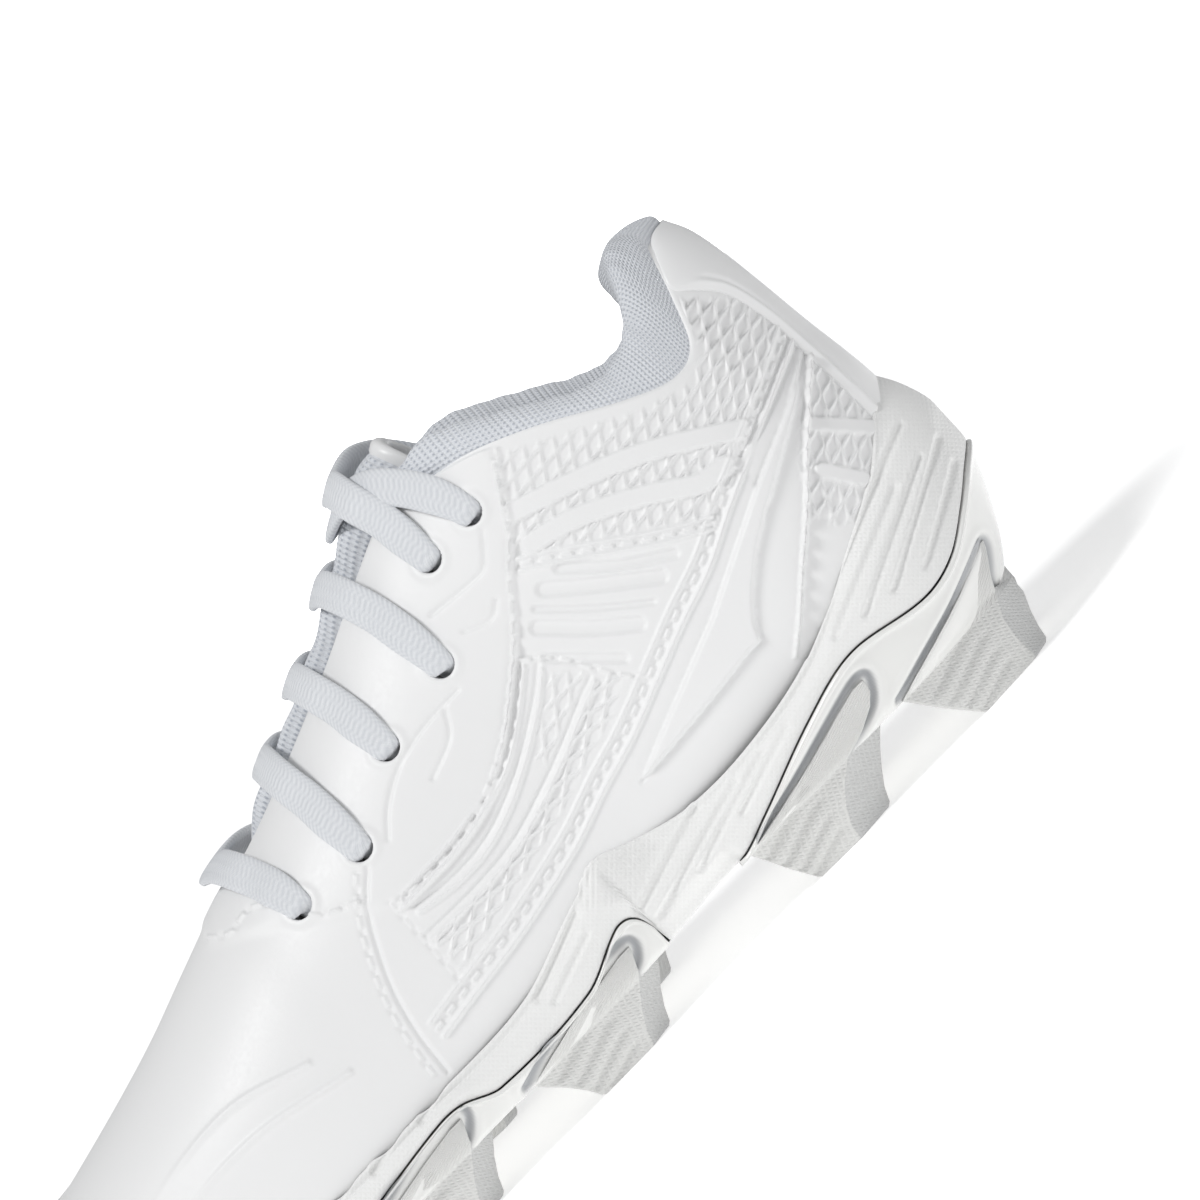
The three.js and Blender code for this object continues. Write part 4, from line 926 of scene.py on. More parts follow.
# %% [markdown]
# ## The padded collar and the linings
#
# Foam rolled in knitted mesh rings the ankle. Its section is drawn as depth in from the shell and height
# above the shell's edge, and runs on down inside the shoe as the lining. A cloth simulation could puff it,
# but the roll is held tight over dense foam, so its section is drawn and then dented a little.

# %% Collar
def collar_point(a, depth, above):
    s = station(abs(a))
    top = top_line(s)
    edge = turn_at(s, top - 3)
    tiny = 1e-4
    around_step = last_point(np.minimum(a + tiny, 1), edge) - last_point(np.maximum(a - tiny, -1), edge)
    inward = np.stack([-around_step[:, 1], around_step[:, 0], np.zeros(len(a))], -1)
    inward /= np.linalg.norm(inward, axis=-1, keepdims=True)
    base = last_point(a, turn_at(s, top + np.minimum(above, -3)))
    point = base + inward * np.asarray(depth)[..., None]
    point[:, 2] = top + above
    return point


collar_end = float(share(80))
collar_a = np.linspace(-collar_end, collar_end, 4001)
collar_length = run_length(outline_point(collar_a, 0, 60))
collar_a = even(collar_a, collar_length, 520)
collar_s = station(abs(collar_a))
pad = mix(12.5, 9.0, smooth(collar_s, 5, 26)) * np.minimum(1, (77 - collar_s) / 30 + 0.35).clip(0.3)
reach = mix(1, 0.4, smooth(collar_s, 48, 72))
lowest = feather_line(collar_s) - top_line(collar_s) + 4.4
dent = 0.28 * np.sin(collar_length[-1] * collar_a * 1.9) * np.sin(collar_s * 0.31 + 1)
crown_line = curve(from_side([(0, 104.6), (4, 104.8), (9.7, 104.7), (14.1, 102.9), (16.8, 100.6), (19.5, 97.8),
                              (22.5, 94.6), (26.3, 91.9), (30.4, 90.2), (36.5, 89.6), (43.5, 91.6), (49.8, 95),
                              (56, 98.2), (64.2, 102.2), (70, 103.8), (76, 103.2)]))
lift_up = crown_line(collar_s) - top_line(collar_s) + dent * 0.6
section = [
    (1.7, -4.5), (1.35, -1.2), (1.15, 1.4), (1.9 + 0.03 * pad, lift_up * 0.66), (1.6 + 0.36 * pad, lift_up * 0.97),
    (1.8 + 0.68 * pad, lift_up * 0.86), (2.6 + pad, lift_up * 0.3), (3.0 + pad + dent, -3.2 * reach),
    (3.0 + 0.92 * pad, -9.5 * reach), (3.0 + 0.5 * pad, -18 * reach), (3.0 + 0.18 * pad, -26 * reach),
    (3.2, mix(-30 * reach, lowest, 0.4)), (3.2, mix(-30 * reach, lowest, 0.7)), (3.6, lowest),
]
controls = np.stack([collar_point(collar_a, depth + 0 * collar_a, above + 0 * collar_a) for depth, above in section])
collar_points = spline(controls, 9)
collar_map = np.stack([np.broadcast_to(collar_length[-1] * (collar_a + collar_end) / (2 * collar_end),
                                       collar_points.shape[:2]), run_length(collar_points)], -1)
collar = make_piece("collar_pad", collar_points, grid_faces(*collar_points.shape[:2]), collar_mesh,
                    map_mm=collar_map, flip=True)
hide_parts("collar_foam", "collar_lining")

lining_a = even(np.linspace(float(share(70)), 2 - float(share(70)), 3001),
                run_length(outline_point(np.linspace(float(share(70)), 2 - float(share(70)), 3001).clip(0, 1),
                0, 40)), 260)
lining_side = np.where(lining_a > 1, -1, 1)
lining_a = np.where(lining_a > 1, 2 - lining_a, lining_a)
lining_s = station(lining_a)
lining_turn = mix(top_edge(lining_s), 0.985, np.linspace(0, 1, 120)[:, None])
lining_at = (lining_a * lining_side)[None]
lining_points = last_point(lining_at, lining_turn)
lining_in = np.stack([np.zeros(lining_turn.shape), -np.sign(lining_points[..., 1] - centre_line(lining_a)),
                      -np.cos(lining_turn / tuck_turn * math.pi / 2).clip(0)], -1)
lining_in[..., 1] *= np.sin((lining_turn / tuck_turn).clip(0, 1) * math.pi / 2)
lining_in[..., 0] = smooth(lining_s, 225, 262) * 0.8
lining_in /= np.linalg.norm(lining_in, axis=-1, keepdims=True)
lining_length = run_length(lining_points)
points, faces = closed_sheet(lining_points + lining_in * 2.3, lining_points + lining_in * 3.0)
lining_map = np.stack([np.broadcast_to(lining_s, lining_turn.shape), lining_length], -1).reshape(-1, 2)
lining = make_piece("lining", points, faces, lining_mesh, map_mm=np.concatenate([lining_map, lining_map]))
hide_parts("vamp_lining", "quarter_lining_lateral", "quarter_lining_medial")
print("collar:", len(collar.data.vertices), "points, lining:", len(points), "points")

# %% [markdown]
# ## The sockliner
#
# The foam footbed that one sees down the ankle opening, faced with a fine cloth and slightly dished.

# %% Sockliner
def inner_bed(inset, lift_at, rows_=26, columns_=240):
    a = even(np.linspace(-1, 1, 4001), run_length(outline_point(np.linspace(-1, 1, 4001), 0, 40)), columns_)
    rim_line = outline_point(a, -inset, 0)
    spine_s = np.clip(station(abs(a)), 22, upper_length - 24)
    spine = np.stack([-spine_s, centre_line(share(spine_s)), 0 * a], -1)
    t = np.linspace(0, 1, rows_)[:, None, None]
    bed = mix(spine[None], rim_line[None], t)
    bed[..., 2] = feather_line(-bed[..., 0]) + lift_at(t[..., 0])
    return bed


bed_top = inner_bed(4.2, lambda t: 3.6 + 1.6 * t ** 4)
bed_low = inner_bed(4.2, lambda t: 0.6 + 0 * t)
points = np.concatenate([bed_top.reshape(-1, 3), bed_low[-1:].reshape(-1, 3)])
faces = np.concatenate([grid_faces(*bed_top.shape[:2]),
                        grid_faces(2, bed_top.shape[1], (len(bed_top) - 1) * bed_top.shape[1])])
sockliner = make_piece("footbed", points, faces, sockliner_cloth, map_mm=points[:, :2])
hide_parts("sockliner")

# %% [markdown]
# ## The tongue
#
# A padded strip of the same mesh with a white bound edge. It is sewn in at its foot, so it bends there
# instead of turning as a plate.

# %% Tongue
tongue_top, tongue_root = 75, 160
tongue_depth = curve([(84, 7.2), (95, 4.8)])
tongue_half_y = curve([(tongue_top, 24.5), (110, 23.5), (150, 16.5), (tongue_root, 12.5)])


def tongue_out(s, turn):
    y = abs(turn) / np.maximum(turn_from_ridge(s, np.maximum(throat_half(s), 4)), 1e-3)
    rise = 2.0 * (1 - smooth(s, 140, 152)) - 4.6 * smooth(s, 137, 151)
    return mix(rise, -tongue_depth(s), smooth(y, 0.25, 0.97))


def surface_normal(a, turn):
    tiny = 1e-4
    along_step = last_point(a + tiny, turn) - last_point(a - tiny, turn)
    turn_step = last_point(a, turn + tiny) - last_point(a, turn - tiny)
    normal = np.cross(turn_step, along_step)
    normal[..., 1] *= np.where(abs(turn) < 2e-4, 0, 1)
    normal /= np.linalg.norm(normal, axis=-1, keepdims=True)
    return np.where(normal[..., 2:] < 0, -normal, normal)


tongue_s = np.linspace(tongue_top, tongue_root, 200)[:, None]
tongue_v = np.linspace(-1, 1, 121)[None]
tongue_turn = turn_from_ridge(tongue_s, tongue_half_y(tongue_s)) * tongue_v
tongue_turn = np.where(abs(tongue_turn) < 2e-4, 2e-4, tongue_turn)
tongue_base = last_point(share(tongue_s), tongue_turn)
tongue_up = surface_normal(share(tongue_s), tongue_turn)
plump = np.sqrt((1 - abs(tongue_v) ** 5).clip(0)) * np.sqrt(smooth(tongue_s, tongue_top - 1,
    tongue_top + 7)).clip(0.25)
tongue_level = tongue_out(tongue_s, tongue_turn) - 3.2
quilt = 0.25 * np.cos(2 * np.pi * (tongue_s - 80) / 11) * (1 - abs(tongue_v) ** 3)
tongue_face = tongue_base + tongue_up * (tongue_level + 3.2 * plump.clip(0.2) + quilt)[..., None]
tongue_back = tongue_base + tongue_up * (tongue_level - 3.4 * plump.clip(0.2))[..., None]
points, faces = closed_sheet(tongue_face, tongue_back)
tongue_map = np.stack(np.broadcast_arrays(tongue_s, tongue_turn * 45), -1).reshape(-1, 2)
tongue_pad = make_piece("tongue_pad", points, faces, collar_mesh,
    map_mm=np.concatenate([tongue_map, tongue_map]), body=None,
                        flip=True)
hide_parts("tongue_cover", "tongue_foam", "tongue_lining")


def tube(path, sideways, facing, width, thick, sides=14, squareness=0.8, lift_of=None):
    """A closed flat tube along a path. sideways and facing are its width's and thickness's directions."""
    angle = 2 * np.pi * np.arange(sides) / sides
    c, s = np.cos(angle), np.sin(angle)
    across = np.sign(c) * abs(c) ** squareness * np.reshape(width, (-1, 1)) / 2
    proud = np.sign(s) * abs(s) ** squareness * np.reshape(thick, (-1, 1)) / 2
    if lift_of is not None:
        proud = proud + lift_of(np.sign(c) * abs(c) ** squareness, s)
    rings = path[:, None] + across[..., None] * sideways[:, None] + proud[..., None] * facing[:, None]
    count_ = len(path)
    i, j = np.meshgrid(np.arange(count_ - 1), np.arange(sides), indexing="ij")
    k = (j + 1) % sides
    walls = np.stack([i * sides + j, i * sides + k, (i + 1) * sides + k, (i + 1) * sides + j], -1).reshape(-1, 4)
    ends = []
    for start in (0, (count_ - 1) * sides):
        for m in range(1, sides // 2):
            ring = [start + m - 1, start + m, start + sides - 1 - m, start + (sides - m) % sides]
            ends.append(ring if start else ring[::-1])
    return rings, np.concatenate([walls, np.array(ends)])


bind_s = np.concatenate([np.linspace(103, tongue_top + 1.5, 40), np.full(60, tongue_top + 0.6),
                         np.linspace(tongue_top + 1.5, 103, 40)])
bind_v = np.concatenate([np.full(40, -0.985), np.linspace(-0.95, 0.95, 60), np.full(40, 0.985)])
bind_turn = turn_from_ridge(bind_s, tongue_half_y(bind_s)) * bind_v
bind_turn = np.where(abs(bind_turn) < 2e-4, 2e-4, bind_turn)
bind_up = surface_normal(share(bind_s), bind_turn)
bind_path = last_point(share(bind_s), bind_turn) + bind_up * (tongue_out(bind_s, bind_turn) - 3.0)[:, None]
for _ in range(6):
    bind_path[1:-1] = (bind_path[:-2] + 2 * bind_path[1:-1] + bind_path[2:]) / 4
bind_run = np.gradient(bind_path, axis=0)
bind_run /= np.linalg.norm(bind_run, axis=-1, keepdims=True)
bind_side = np.cross(bind_up, bind_run)
bind_side /= np.linalg.norm(bind_side, axis=-1, keepdims=True)
rings, faces = tube(bind_path, bind_side, bind_up, 3.6, 3.4)
binding = make_piece("tongue_edge", rings, faces, smooth_leather, body=None)
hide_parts("tongue_binding")
for piece in (tongue_pad, binding):
    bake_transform(piece)
print("tongue:", len(tongue_pad.data.vertices), "points")

# %% [markdown]
# ## The lace
#
# One flat braid: bars across the throat at the four lower rows, a cross at the top two, and runs inside
# between them. A curve with a flat bevel would twist where it dives through the eyelets, so the ribbon is
# laid point by point on the last, with its width kept flat on the shoe, and the braid's chevrons are raised
# on its faces.

# %% Lace
lace_width, lace_thickness, lace_over, lace_under, braid_step = 6.8, 1.9, 1.75, 3.9, 1.15
route = []


def lay(s, turn, out, width=lace_width, thick=lace_thickness, flat=True):
    route.append((float(share(s)), float(turn), float(out), width, thick, flat))


def row_turn(row):
    s, z = eyelet_places[row]
    return float(turn_at(s, z))


def through_eyelet(row, side, down):
    s, z = eyelet_places[row]
    depths = [(0.5, 5.2), (-1.2, 4.2), (-3.2, 3.6)]
    for out, width in depths if down else depths[::-1]:
        lay(s, side * row_turn(row), out, width, 2.2, flat=False)


def over_foot(start, end, side, ridge_station, lift):
    for t in (0.035, 0.09, 0.17, 0.26, 0.38, 0.5, 0.62, 0.74, 0.83, 0.91, 0.965):
        near = start if t < 0.5 else end
        to_ridge = 1 - abs(2 * t - 1)
        s = mix(eyelet_places[near][0], ridge_station, to_ridge ** 1.25)
        turn = (side if t < 0.5 else -side) * row_turn(near) * (1 - to_ridge)
        crown = float(smooth(to_ridge, 0.3, 0.6)) * 1.9
        raised = lace_over + crown + lift * float(smooth(to_ridge, 0.15, 0.6)) - 0.5 * (t < 0.05 or t > 0.95)
        lay(s, turn or 1e-6, raised, 6.0 if t < 0.05 or t > 0.95 else lace_width)


def run_inside(start, end, side, bow):
    for t in (0.12, 0.35, 0.65, 0.88):
        s = mix(eyelet_places[start][0], eyelet_places[end][0], t)
        z = mix(eyelet_places[start][1], eyelet_places[end][1], t) - bow * 4 * t * (1 - t)
        lay(s, side * float(turn_at(s, z)), -lace_under, 3, 1.6)


def tuck_in_end(row, side, t):
    s, z = eyelet_places[row]
    lay(s + 8 * t, side * float(turn_at(s, z - 4 - 14 * t)), -lace_under - 0.4, 3, 1.6)


OUTER, INNER = -1, 1
for t in (1, 0.6, 0.2):
    tuck_in_end(0, OUTER, t)
through_eyelet(0, OUTER, False)
over_foot(0, 1, OUTER, 90, 0)
through_eyelet(1, INNER, True)
run_inside(1, 3, INNER, -2.4)
through_eyelet(3, INNER, False)
over_foot(3, 3, INNER, 116, 0)
through_eyelet(3, OUTER, True)
run_inside(3, 5, OUTER, -2.4)
through_eyelet(5, OUTER, False)
over_foot(5, 5, OUTER, 151.5, 0)
through_eyelet(5, INNER, True)
run_inside(5, 4, INNER, 0)
through_eyelet(4, INNER, False)
over_foot(4, 4, INNER, 130, 0)
through_eyelet(4, OUTER, True)
run_inside(4, 2, OUTER, 3)
through_eyelet(2, OUTER, False)
over_foot(2, 2, OUTER, 101, 0)
through_eyelet(2, INNER, True)
run_inside(2, 0, INNER, 3)
through_eyelet(0, INNER, False)
over_foot(0, 1, INNER, 84, 2.1)
through_eyelet(1, OUTER, True)
for t in (0.2, 0.6, 1):
    tuck_in_end(1, OUTER, t)

route_a, route_turn, route_out, route_width, route_thick, route_flat = (np.array(v) for v in zip(*route))
route_up = surface_normal(route_a, np.where(abs(route_turn) < 2e-4, 2e-4, route_turn))
route_path = last_point(route_a, route_turn) + route_up * route_out[:, None]
route_run = np.gradient(route_path, axis=0)
route_side = np.cross(route_up, route_run)
route_side /= np.linalg.norm(route_side, axis=-1, keepdims=True)
for k in range(len(route)):
    if not route_flat[k]:
        near = [m for m in range(len(route)) if route_flat[m]]
        route_side[k] = route_side[min(near, key=lambda m: abs(m - k))]
    if k and route_side[k] @ route_side[k - 1] < 0:
        route_side[k] = -route_side[k]
packed = spline(np.concatenate([route_path, route_side, route_width[:, None], route_thick[:, None]], -1), 16)
lace_length = run_length(packed[:, :3])
lace_count = int(lace_length[-1] / (0.25))
packed = np.stack([even(packed[:, k], lace_length, lace_count) for k in range(8)], -1)
lace_path, lace_side = packed[:, :3], packed[:, 3:6]
lace_run = np.gradient(lace_path, axis=0)
lace_run /= np.linalg.norm(lace_run, axis=-1, keepdims=True)
lace_side -= (lace_side * lace_run).sum(-1, keepdims=True) * lace_run
lace_side /= np.linalg.norm(lace_side, axis=-1, keepdims=True)
lace_face = np.cross(lace_run, lace_side)
lace_at = np.linspace(0, lace_length[-1], lace_count)


def chevrons(c, s):
    """The braid's raised chevrons, that point along the lace."""
    across = c[None] * packed[:, 6:7] / 2
    wave = np.cos(2 * np.pi * (lace_at[:, None] - 1.15 * abs(across)) / braid_step)
    ribs = np.cos(2 * np.pi * across / 2.2)
    return 0.09 * wave * ribs * np.sign(s)[None] * abs(s[None]) ** 0.3


lace_sides = 28
rings, faces = tube(lace_path, lace_side, lace_face, packed[:, 6], packed[:, 7], lace_sides, 0.62, chevrons)
turn_angle = 2 * np.pi * np.arange(lace_sides) / lace_sides
lace_map = np.stack(np.broadcast_arrays(lace_at[:, None], (lace_width / 2 * np.cos(turn_angle))[None]), -1)
across_lace = np.sign(np.cos(turn_angle)) * abs(np.cos(turn_angle)) ** 0.62 * lace_width / 2
# The troughs between the braid's chevrons are painted darker: painted shade.
lace_trough_shade = 0.5 - 0.5 * np.cos(2 * np.pi * (lace_at[:, None] - 1.15 * abs(across_lace[None])) / braid_step)
lace = make_piece("lace_braid", rings, faces, lace_braid, map_mm=lace_map, painted_shade=0.55 * lace_trough_shade)
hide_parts("lace")
print("lace:", round(lace_length[-1]), "mm long,", len(lace.data.vertices), "points")

# %% [markdown]
# ## The sole
#
# The midsole is a foam wall between the upper and the plates. Its lower edge is undercut and painted dark
# there as shade, which gives the thin dark line above the plates' rounded lip.

# %% Curves of the sole
sole_base = curve([(0, 15), (10, 13.8), (20, 12.6), (32, 12.2), (81, 12), (101, 10.6), (140, 10.3), (190, 10.6),
                   (220, 12.8), (245, 16.6), (266, 21)])
plate_line = curve(from_side([(0, 34), (3, 32), (8, 28.4), (17, 23.8), (25, 22.4), (41, 24.9), (55, 21.8), (73, 15.2),
                              (81, 12.6), (101, 10.8), (101.6, 15.6), (103, 18.6), (105.4, 19.6), (108, 19),
                              (118, 15.0),
                              (140, 14.4), (147, 17.2), (152, 17.6), (178, 14.8), (190, 17), (196, 17.4), (225, 19),
                              (245, 23), (262, 27)]))
edge_out = curve([(0, -6), (0.15, -3.2), (0.3, -1.2), (0.75, -1), (0.9, -3), (1, -6)])
lip_out = curve([(0, 5.1), (0.15, 4.4), (0.3, 3.4), (0.75, 3.2), (1, 4.6)])
rim_out = curve([(0, 0.9), (0.3, 0.6), (1, 0.9)])
heel_plate_end, fore_plate_start = 79.5, 98.6


def bare(s):
    """1 in the arch between the plates, 0 over them."""
    return smooth(s, heel_plate_end - 2, heel_plate_end + 1.5) * (1 - smooth(s, fore_plate_start - 1.2,
        fore_plate_start + 0.2))


# %% Midsole
wall_a = around(0.42, far_spacing=0.8)
wall_s = station(abs(wall_a))
lip, rim_o, edge_o = lip_out(abs(wall_a)), rim_out(abs(wall_a)), edge_out(abs(wall_a))
line = np.maximum(plate_line(wall_s), sole_base(wall_s) + 0.6)
rim_z = midsole_rim(wall_s)
arch = bare(wall_s)
foot_z = mix(line + 0.3, sole_base(wall_s) + 0.4, arch)
foot_out = mix(lip - 2.0, edge_o - 1.0, arch)
wall_rows = [
    (foot_out - 3, foot_z + 0.4), (foot_out, foot_z),
    (mix(lip - 0.75, edge_o + 0.3, arch), foot_z + mix(0.3, 0.2, arch)),
    (mix(lip - 0.15, edge_o + 1.6, arch), foot_z + mix(1.0, 2.0, arch)), (lip + 0.1, mix(foot_z, rim_z, 0.32)),
    (lip + 0.05, mix(foot_z, rim_z, 0.5)), (mix(lip, rim_o, 0.4), mix(foot_z, rim_z, 0.75)),
    (rim_o + 0.35, rim_z - 1.3), (rim_o + 0.05, rim_z - 0.25), (rim_o - 0.9, rim_z), (-0.8, rim_z - 0.9),
]
wall_controls = np.stack([outline_point(wall_a, out, z) for out, z in wall_rows])
wall_points = spline(wall_controls, 11)
wall_normal = grid_normals(wall_points)
wall_normal[:, 0] = wall_normal[:, -1] = (-1, 0, 0)
if wall_normal[len(wall_points) // 2, len(wall_a) // 4, 1] > 0:
    wall_normal[:, 1:-1] *= -1
wall_paper = on_paper(wall_points)
wall_points = wall_points + wall_normal * read_sheet(sole, *wall_paper)[..., None]
wall_level = np.linspace(0, len(wall_rows) - 1, len(wall_points))[:, None]
# The undercut rows are painted dark grey: painted shade in the gap above the plates.
undercut_painted_shade = (1 - smooth(wall_level, 1.6, 2.1)) * (1 - arch[None])
wall_faces = grid_faces(*wall_points.shape[:2])
columns = len(wall_a)
wall_faces = np.where(wall_faces % columns == columns - 1, wall_faces - columns + 1, wall_faces)
midsole = make_piece("midsole_wall", wall_points, wall_faces, eva_foam, map_mm=np.stack(wall_paper, -1),
                     painted_shade=undercut_painted_shade, flip=True)
arch_a = np.linspace(float(share(72)), float(share(112)), 120)
arch_t = np.linspace(-1, 1, 81)[:, None]
arch_spine = np.stack([-station(arch_a), centre_line(arch_a), 0 * arch_a], -1)
arch_rim = [outline_point(side * arch_a, edge_out(arch_a) - 0.6, 0) for side in (-1, 1)]
arch_points = np.where(arch_t[..., None] < 0, mix(arch_spine, arch_rim[0], -arch_t[..., None]),
                       mix(arch_spine, arch_rim[1], arch_t[..., None]))
arch_points[..., 2] = sole_base(-arch_points[..., 0]) + 0.5
ribs = np.cos(2 * np.pi * (-arch_points[..., 0] + 0.5 * abs(arch_points[..., 1])) / 5)
arch_points[..., 2] -= 0.5 * smooth(ribs, 0.1, 0.7) * (abs(arch_t) < 0.82)
arch_floor = make_piece("arch_floor", arch_points, grid_faces(*arch_points.shape[:2]), eva_foam,
                        map_mm=arch_points[..., :2], painted_shade=np.zeros(arch_points.shape[:2]))
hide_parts("midsole")
print("midsole:", len(midsole.data.vertices), "points")

# %% [markdown]
# ### The plates
#
# Two glossy plates, one under the heel and one under the ball and toes. Each turns up into a flange with a
# rounded lip, and above each stud a groove draws an arch, painted grey along its line as shade.

# %% Plates
def plate(name, place, node):
    a = place
    s = station(abs(a))
    edge, top = edge_out(abs(a)), lip_out(abs(a))
    lip_z = np.maximum(plate_line(s), sole_base(s) + 0.6)
    spine_s = np.clip(s, 30, upper_length - 30)
    spine = np.stack([-spine_s, centre_line(share(spine_s)), 0 * s], -1)
    inner, outer = outline_point(a, edge - 7, 0), outline_point(a, edge - 0.8, 0)
    rows_ = [spine, mix(spine, inner, 0.5), inner, mix(inner, outer, 0.6), outer]
    for row in rows_:
        row[:, 2] = sole_base(-row[:, 0])
    base = sole_base(s)
    for k in (0.1, 0.3, 0.6, 0.88):
        rows_.append(outline_point(a, mix(edge, top, k ** 0.7), mix(base, lip_z, k)))
    rows_ += [outline_point(a, top + 0.25, lip_z - 0.55), outline_point(a, top + 0.05, lip_z + 0.05),
              outline_point(a, top - 0.7, lip_z + 0.2), outline_point(a, top - 2.6, lip_z - 0.1)]
    points_ = spline(np.stack(rows_), 10)
    normal = grid_normals(points_)
    if normal[len(points_) * 7 // 12, len(a) // 4, 2] > 0.5 or normal[4, len(a) // 2, 2] > 0:
        normal = -normal
    level = np.linspace(0, len(rows_) - 1, len(points_))[:, None]
    flank = smooth(level, 3.6, 4.6) * (1 - smooth(level, 9.4, 10))
    seen = on_paper(points_)
    points_ = points_ + normal * (read_sheet(plate_press, *seen) * flank)[..., None]
    middle = np.exp(-((np.mod(-points_[..., 0], 9) - 4.5) / 0.9) ** 2) * (level > 0.4) * (1 - smooth(level, 1.2, 2.2))
    points_[..., 2] += 0.5 * middle
    # Painted shade: the arch grooves on the flank are tinted grey.
    plate_groove_shade = read_sheet(groove_painted_shade, *seen) * flank
    ends = []
    for k in (0, -1):
        lifted = points_[:, k:k + 1 if k == 0 else None].copy()
        lifted[..., 2] = np.maximum(lifted[..., 2], np.minimum(lifted[..., 2] + 3, lip_z[k] - 0.1))
        ends.append(lifted)
    points_ = np.concatenate([ends[0], points_, ends[1]], 1)
    plate_groove_shade = np.concatenate([plate_groove_shade[:, :1], plate_groove_shade, plate_groove_shade[:, -1:]], 1)
    piece = make_piece(name, points_, grid_faces(*points_.shape[:2]), glossy_tpu,
                       map_mm=np.stack(on_paper(points_), -1), painted_shade=plate_groove_shade, flip=True)
    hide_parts(node)
    return piece


plate_step = 0.42
heel_end, fore_start = float(share(heel_plate_end)), float(share(fore_plate_start))
heel_plate = plate("heel_plate_shell", around(plate_step, -heel_end, heel_end), "heel_plate")
outer_half = around(plate_step, -1, -fore_start)
inner_half = around(plate_step, fore_start, 1)
fore_plate = plate("forefoot_plate_shell", np.concatenate([inner_half, outer_half[1:]]), "forefoot_plate")
print("plates:", len(heel_plate.data.vertices), "and", len(fore_plate.data.vertices), "points")

# %% [markdown]
# ### The studs
#
# Blades moulded in matte grey plastic. Each runs from the arch on the plate's flank down to a flat tip, with
# a sharp ridge between its outer face and its hollow rear face, and slanting grooves on the outer face. The
# rear face is painted a darker grey as shade.

# %% Studs
stud_press = np.zeros(grid_x.shape)
stud_starts = {"heel_rear": 11.7, "heel_front": 43.8, "forefoot_rear": 105.4, "forefoot_middle": 146.4,
               "forefoot_front": 188.9}
for name, start in stud_starts.items():
    shift = start - 11.7 + (9.5 if name == "heel_front" else 0)
    drop = 0 if name.startswith("heel") else -1.5
    for p, q in (((37.5, 8.5), (24.5, 13.2)), ((36, 5.6), (24.5, 9.8)), ((34.5, 2.9), (24.5, 6.5)),
        ((33, 0.6), (24.5, 3.4))):
        bar_mark(stud_press, [(p[0] + shift, p[1] + drop), (q[0] + shift, q[1] + drop)], 1.0, -0.45, edge=0.7)
stud_shapes = {
    "heel_rear": ([0, 3, 6, 9, 12.4, 14, 16, 18, 20, 21.3],
    [33.5, 35.8, 38.1, 40.2, 42.4, 37.4, 30.2, 23.2, 17, 13.4],
                  [20.4, 20.5, 20.3, 19.8, 18, 16.9, 15.7, 14.3, 12.9, 12.3],
                  [16.8, 16.2, 15.2, 13.8, 13.6, 17.5, 17.2, 16.2, 15, 14]),
    "heel_front": ([0, 3, 6, 9, 12.2, 14, 16, 18, 19.4, 20.4], [74.6, 76.2, 77.7, 79, 80.6, 72.0, 63.5, 56, 51, 46.8],
                   [64.6, 64.1, 62.4, 60, 56, 50.4, 46.6, 44.6, 44.2, 44.2],
                   [56.8, 55.4, 53.2, 50.6, 47.4, 51.4, 48, 46, 45.6, 45.2]),
    "forefoot": ([0, 3, 6, 9, 10.6, 12, 13.6, 15, 16], [22.6, 24, 26, 28.6, 29.6, 24.5, 18, 10.5, 3.4],
                 [10.4, 9.3, 7.4, 5.0, 3.6, 2.4, 1.5, 0.8, 0.5], [6.2, 4.8, 2.8, 0.2, -0.6, 3.2, 2.6, 1.8, 1.4]),
}


def rounded(corners, radius=0.7, per_corner=5, per_side=12):
    """Rings of points along polygons with rounded corners; corners is (rings, corners, 3)."""
    before, after = np.roll(corners, 1, axis=1), np.roll(corners, -1, axis=1)
    to_before, to_after = before - corners, after - corners
    size_before = np.linalg.norm(to_before, axis=-1, keepdims=True)
    size_after = np.linalg.norm(to_after, axis=-1, keepdims=True)
    start = corners + to_before / size_before * np.minimum(radius, size_before * 0.45)
    end = corners + to_after / size_after * np.minimum(radius, size_after * 0.45)
    following = np.roll(start, -1, axis=1)
    samples = []
    for k in range(corners.shape[1]):
        for t in np.arange(per_corner) / per_corner:
            samples.append((1 - t) ** 2 * start[:, k] + 2 * t * (1 - t) * corners[:, k] + t * t * end[:, k])
        for t in np.arange(per_side) / per_side:
            samples.append(mix(end[:, k], following[:, k], t))
    return np.stack(samples, 1)


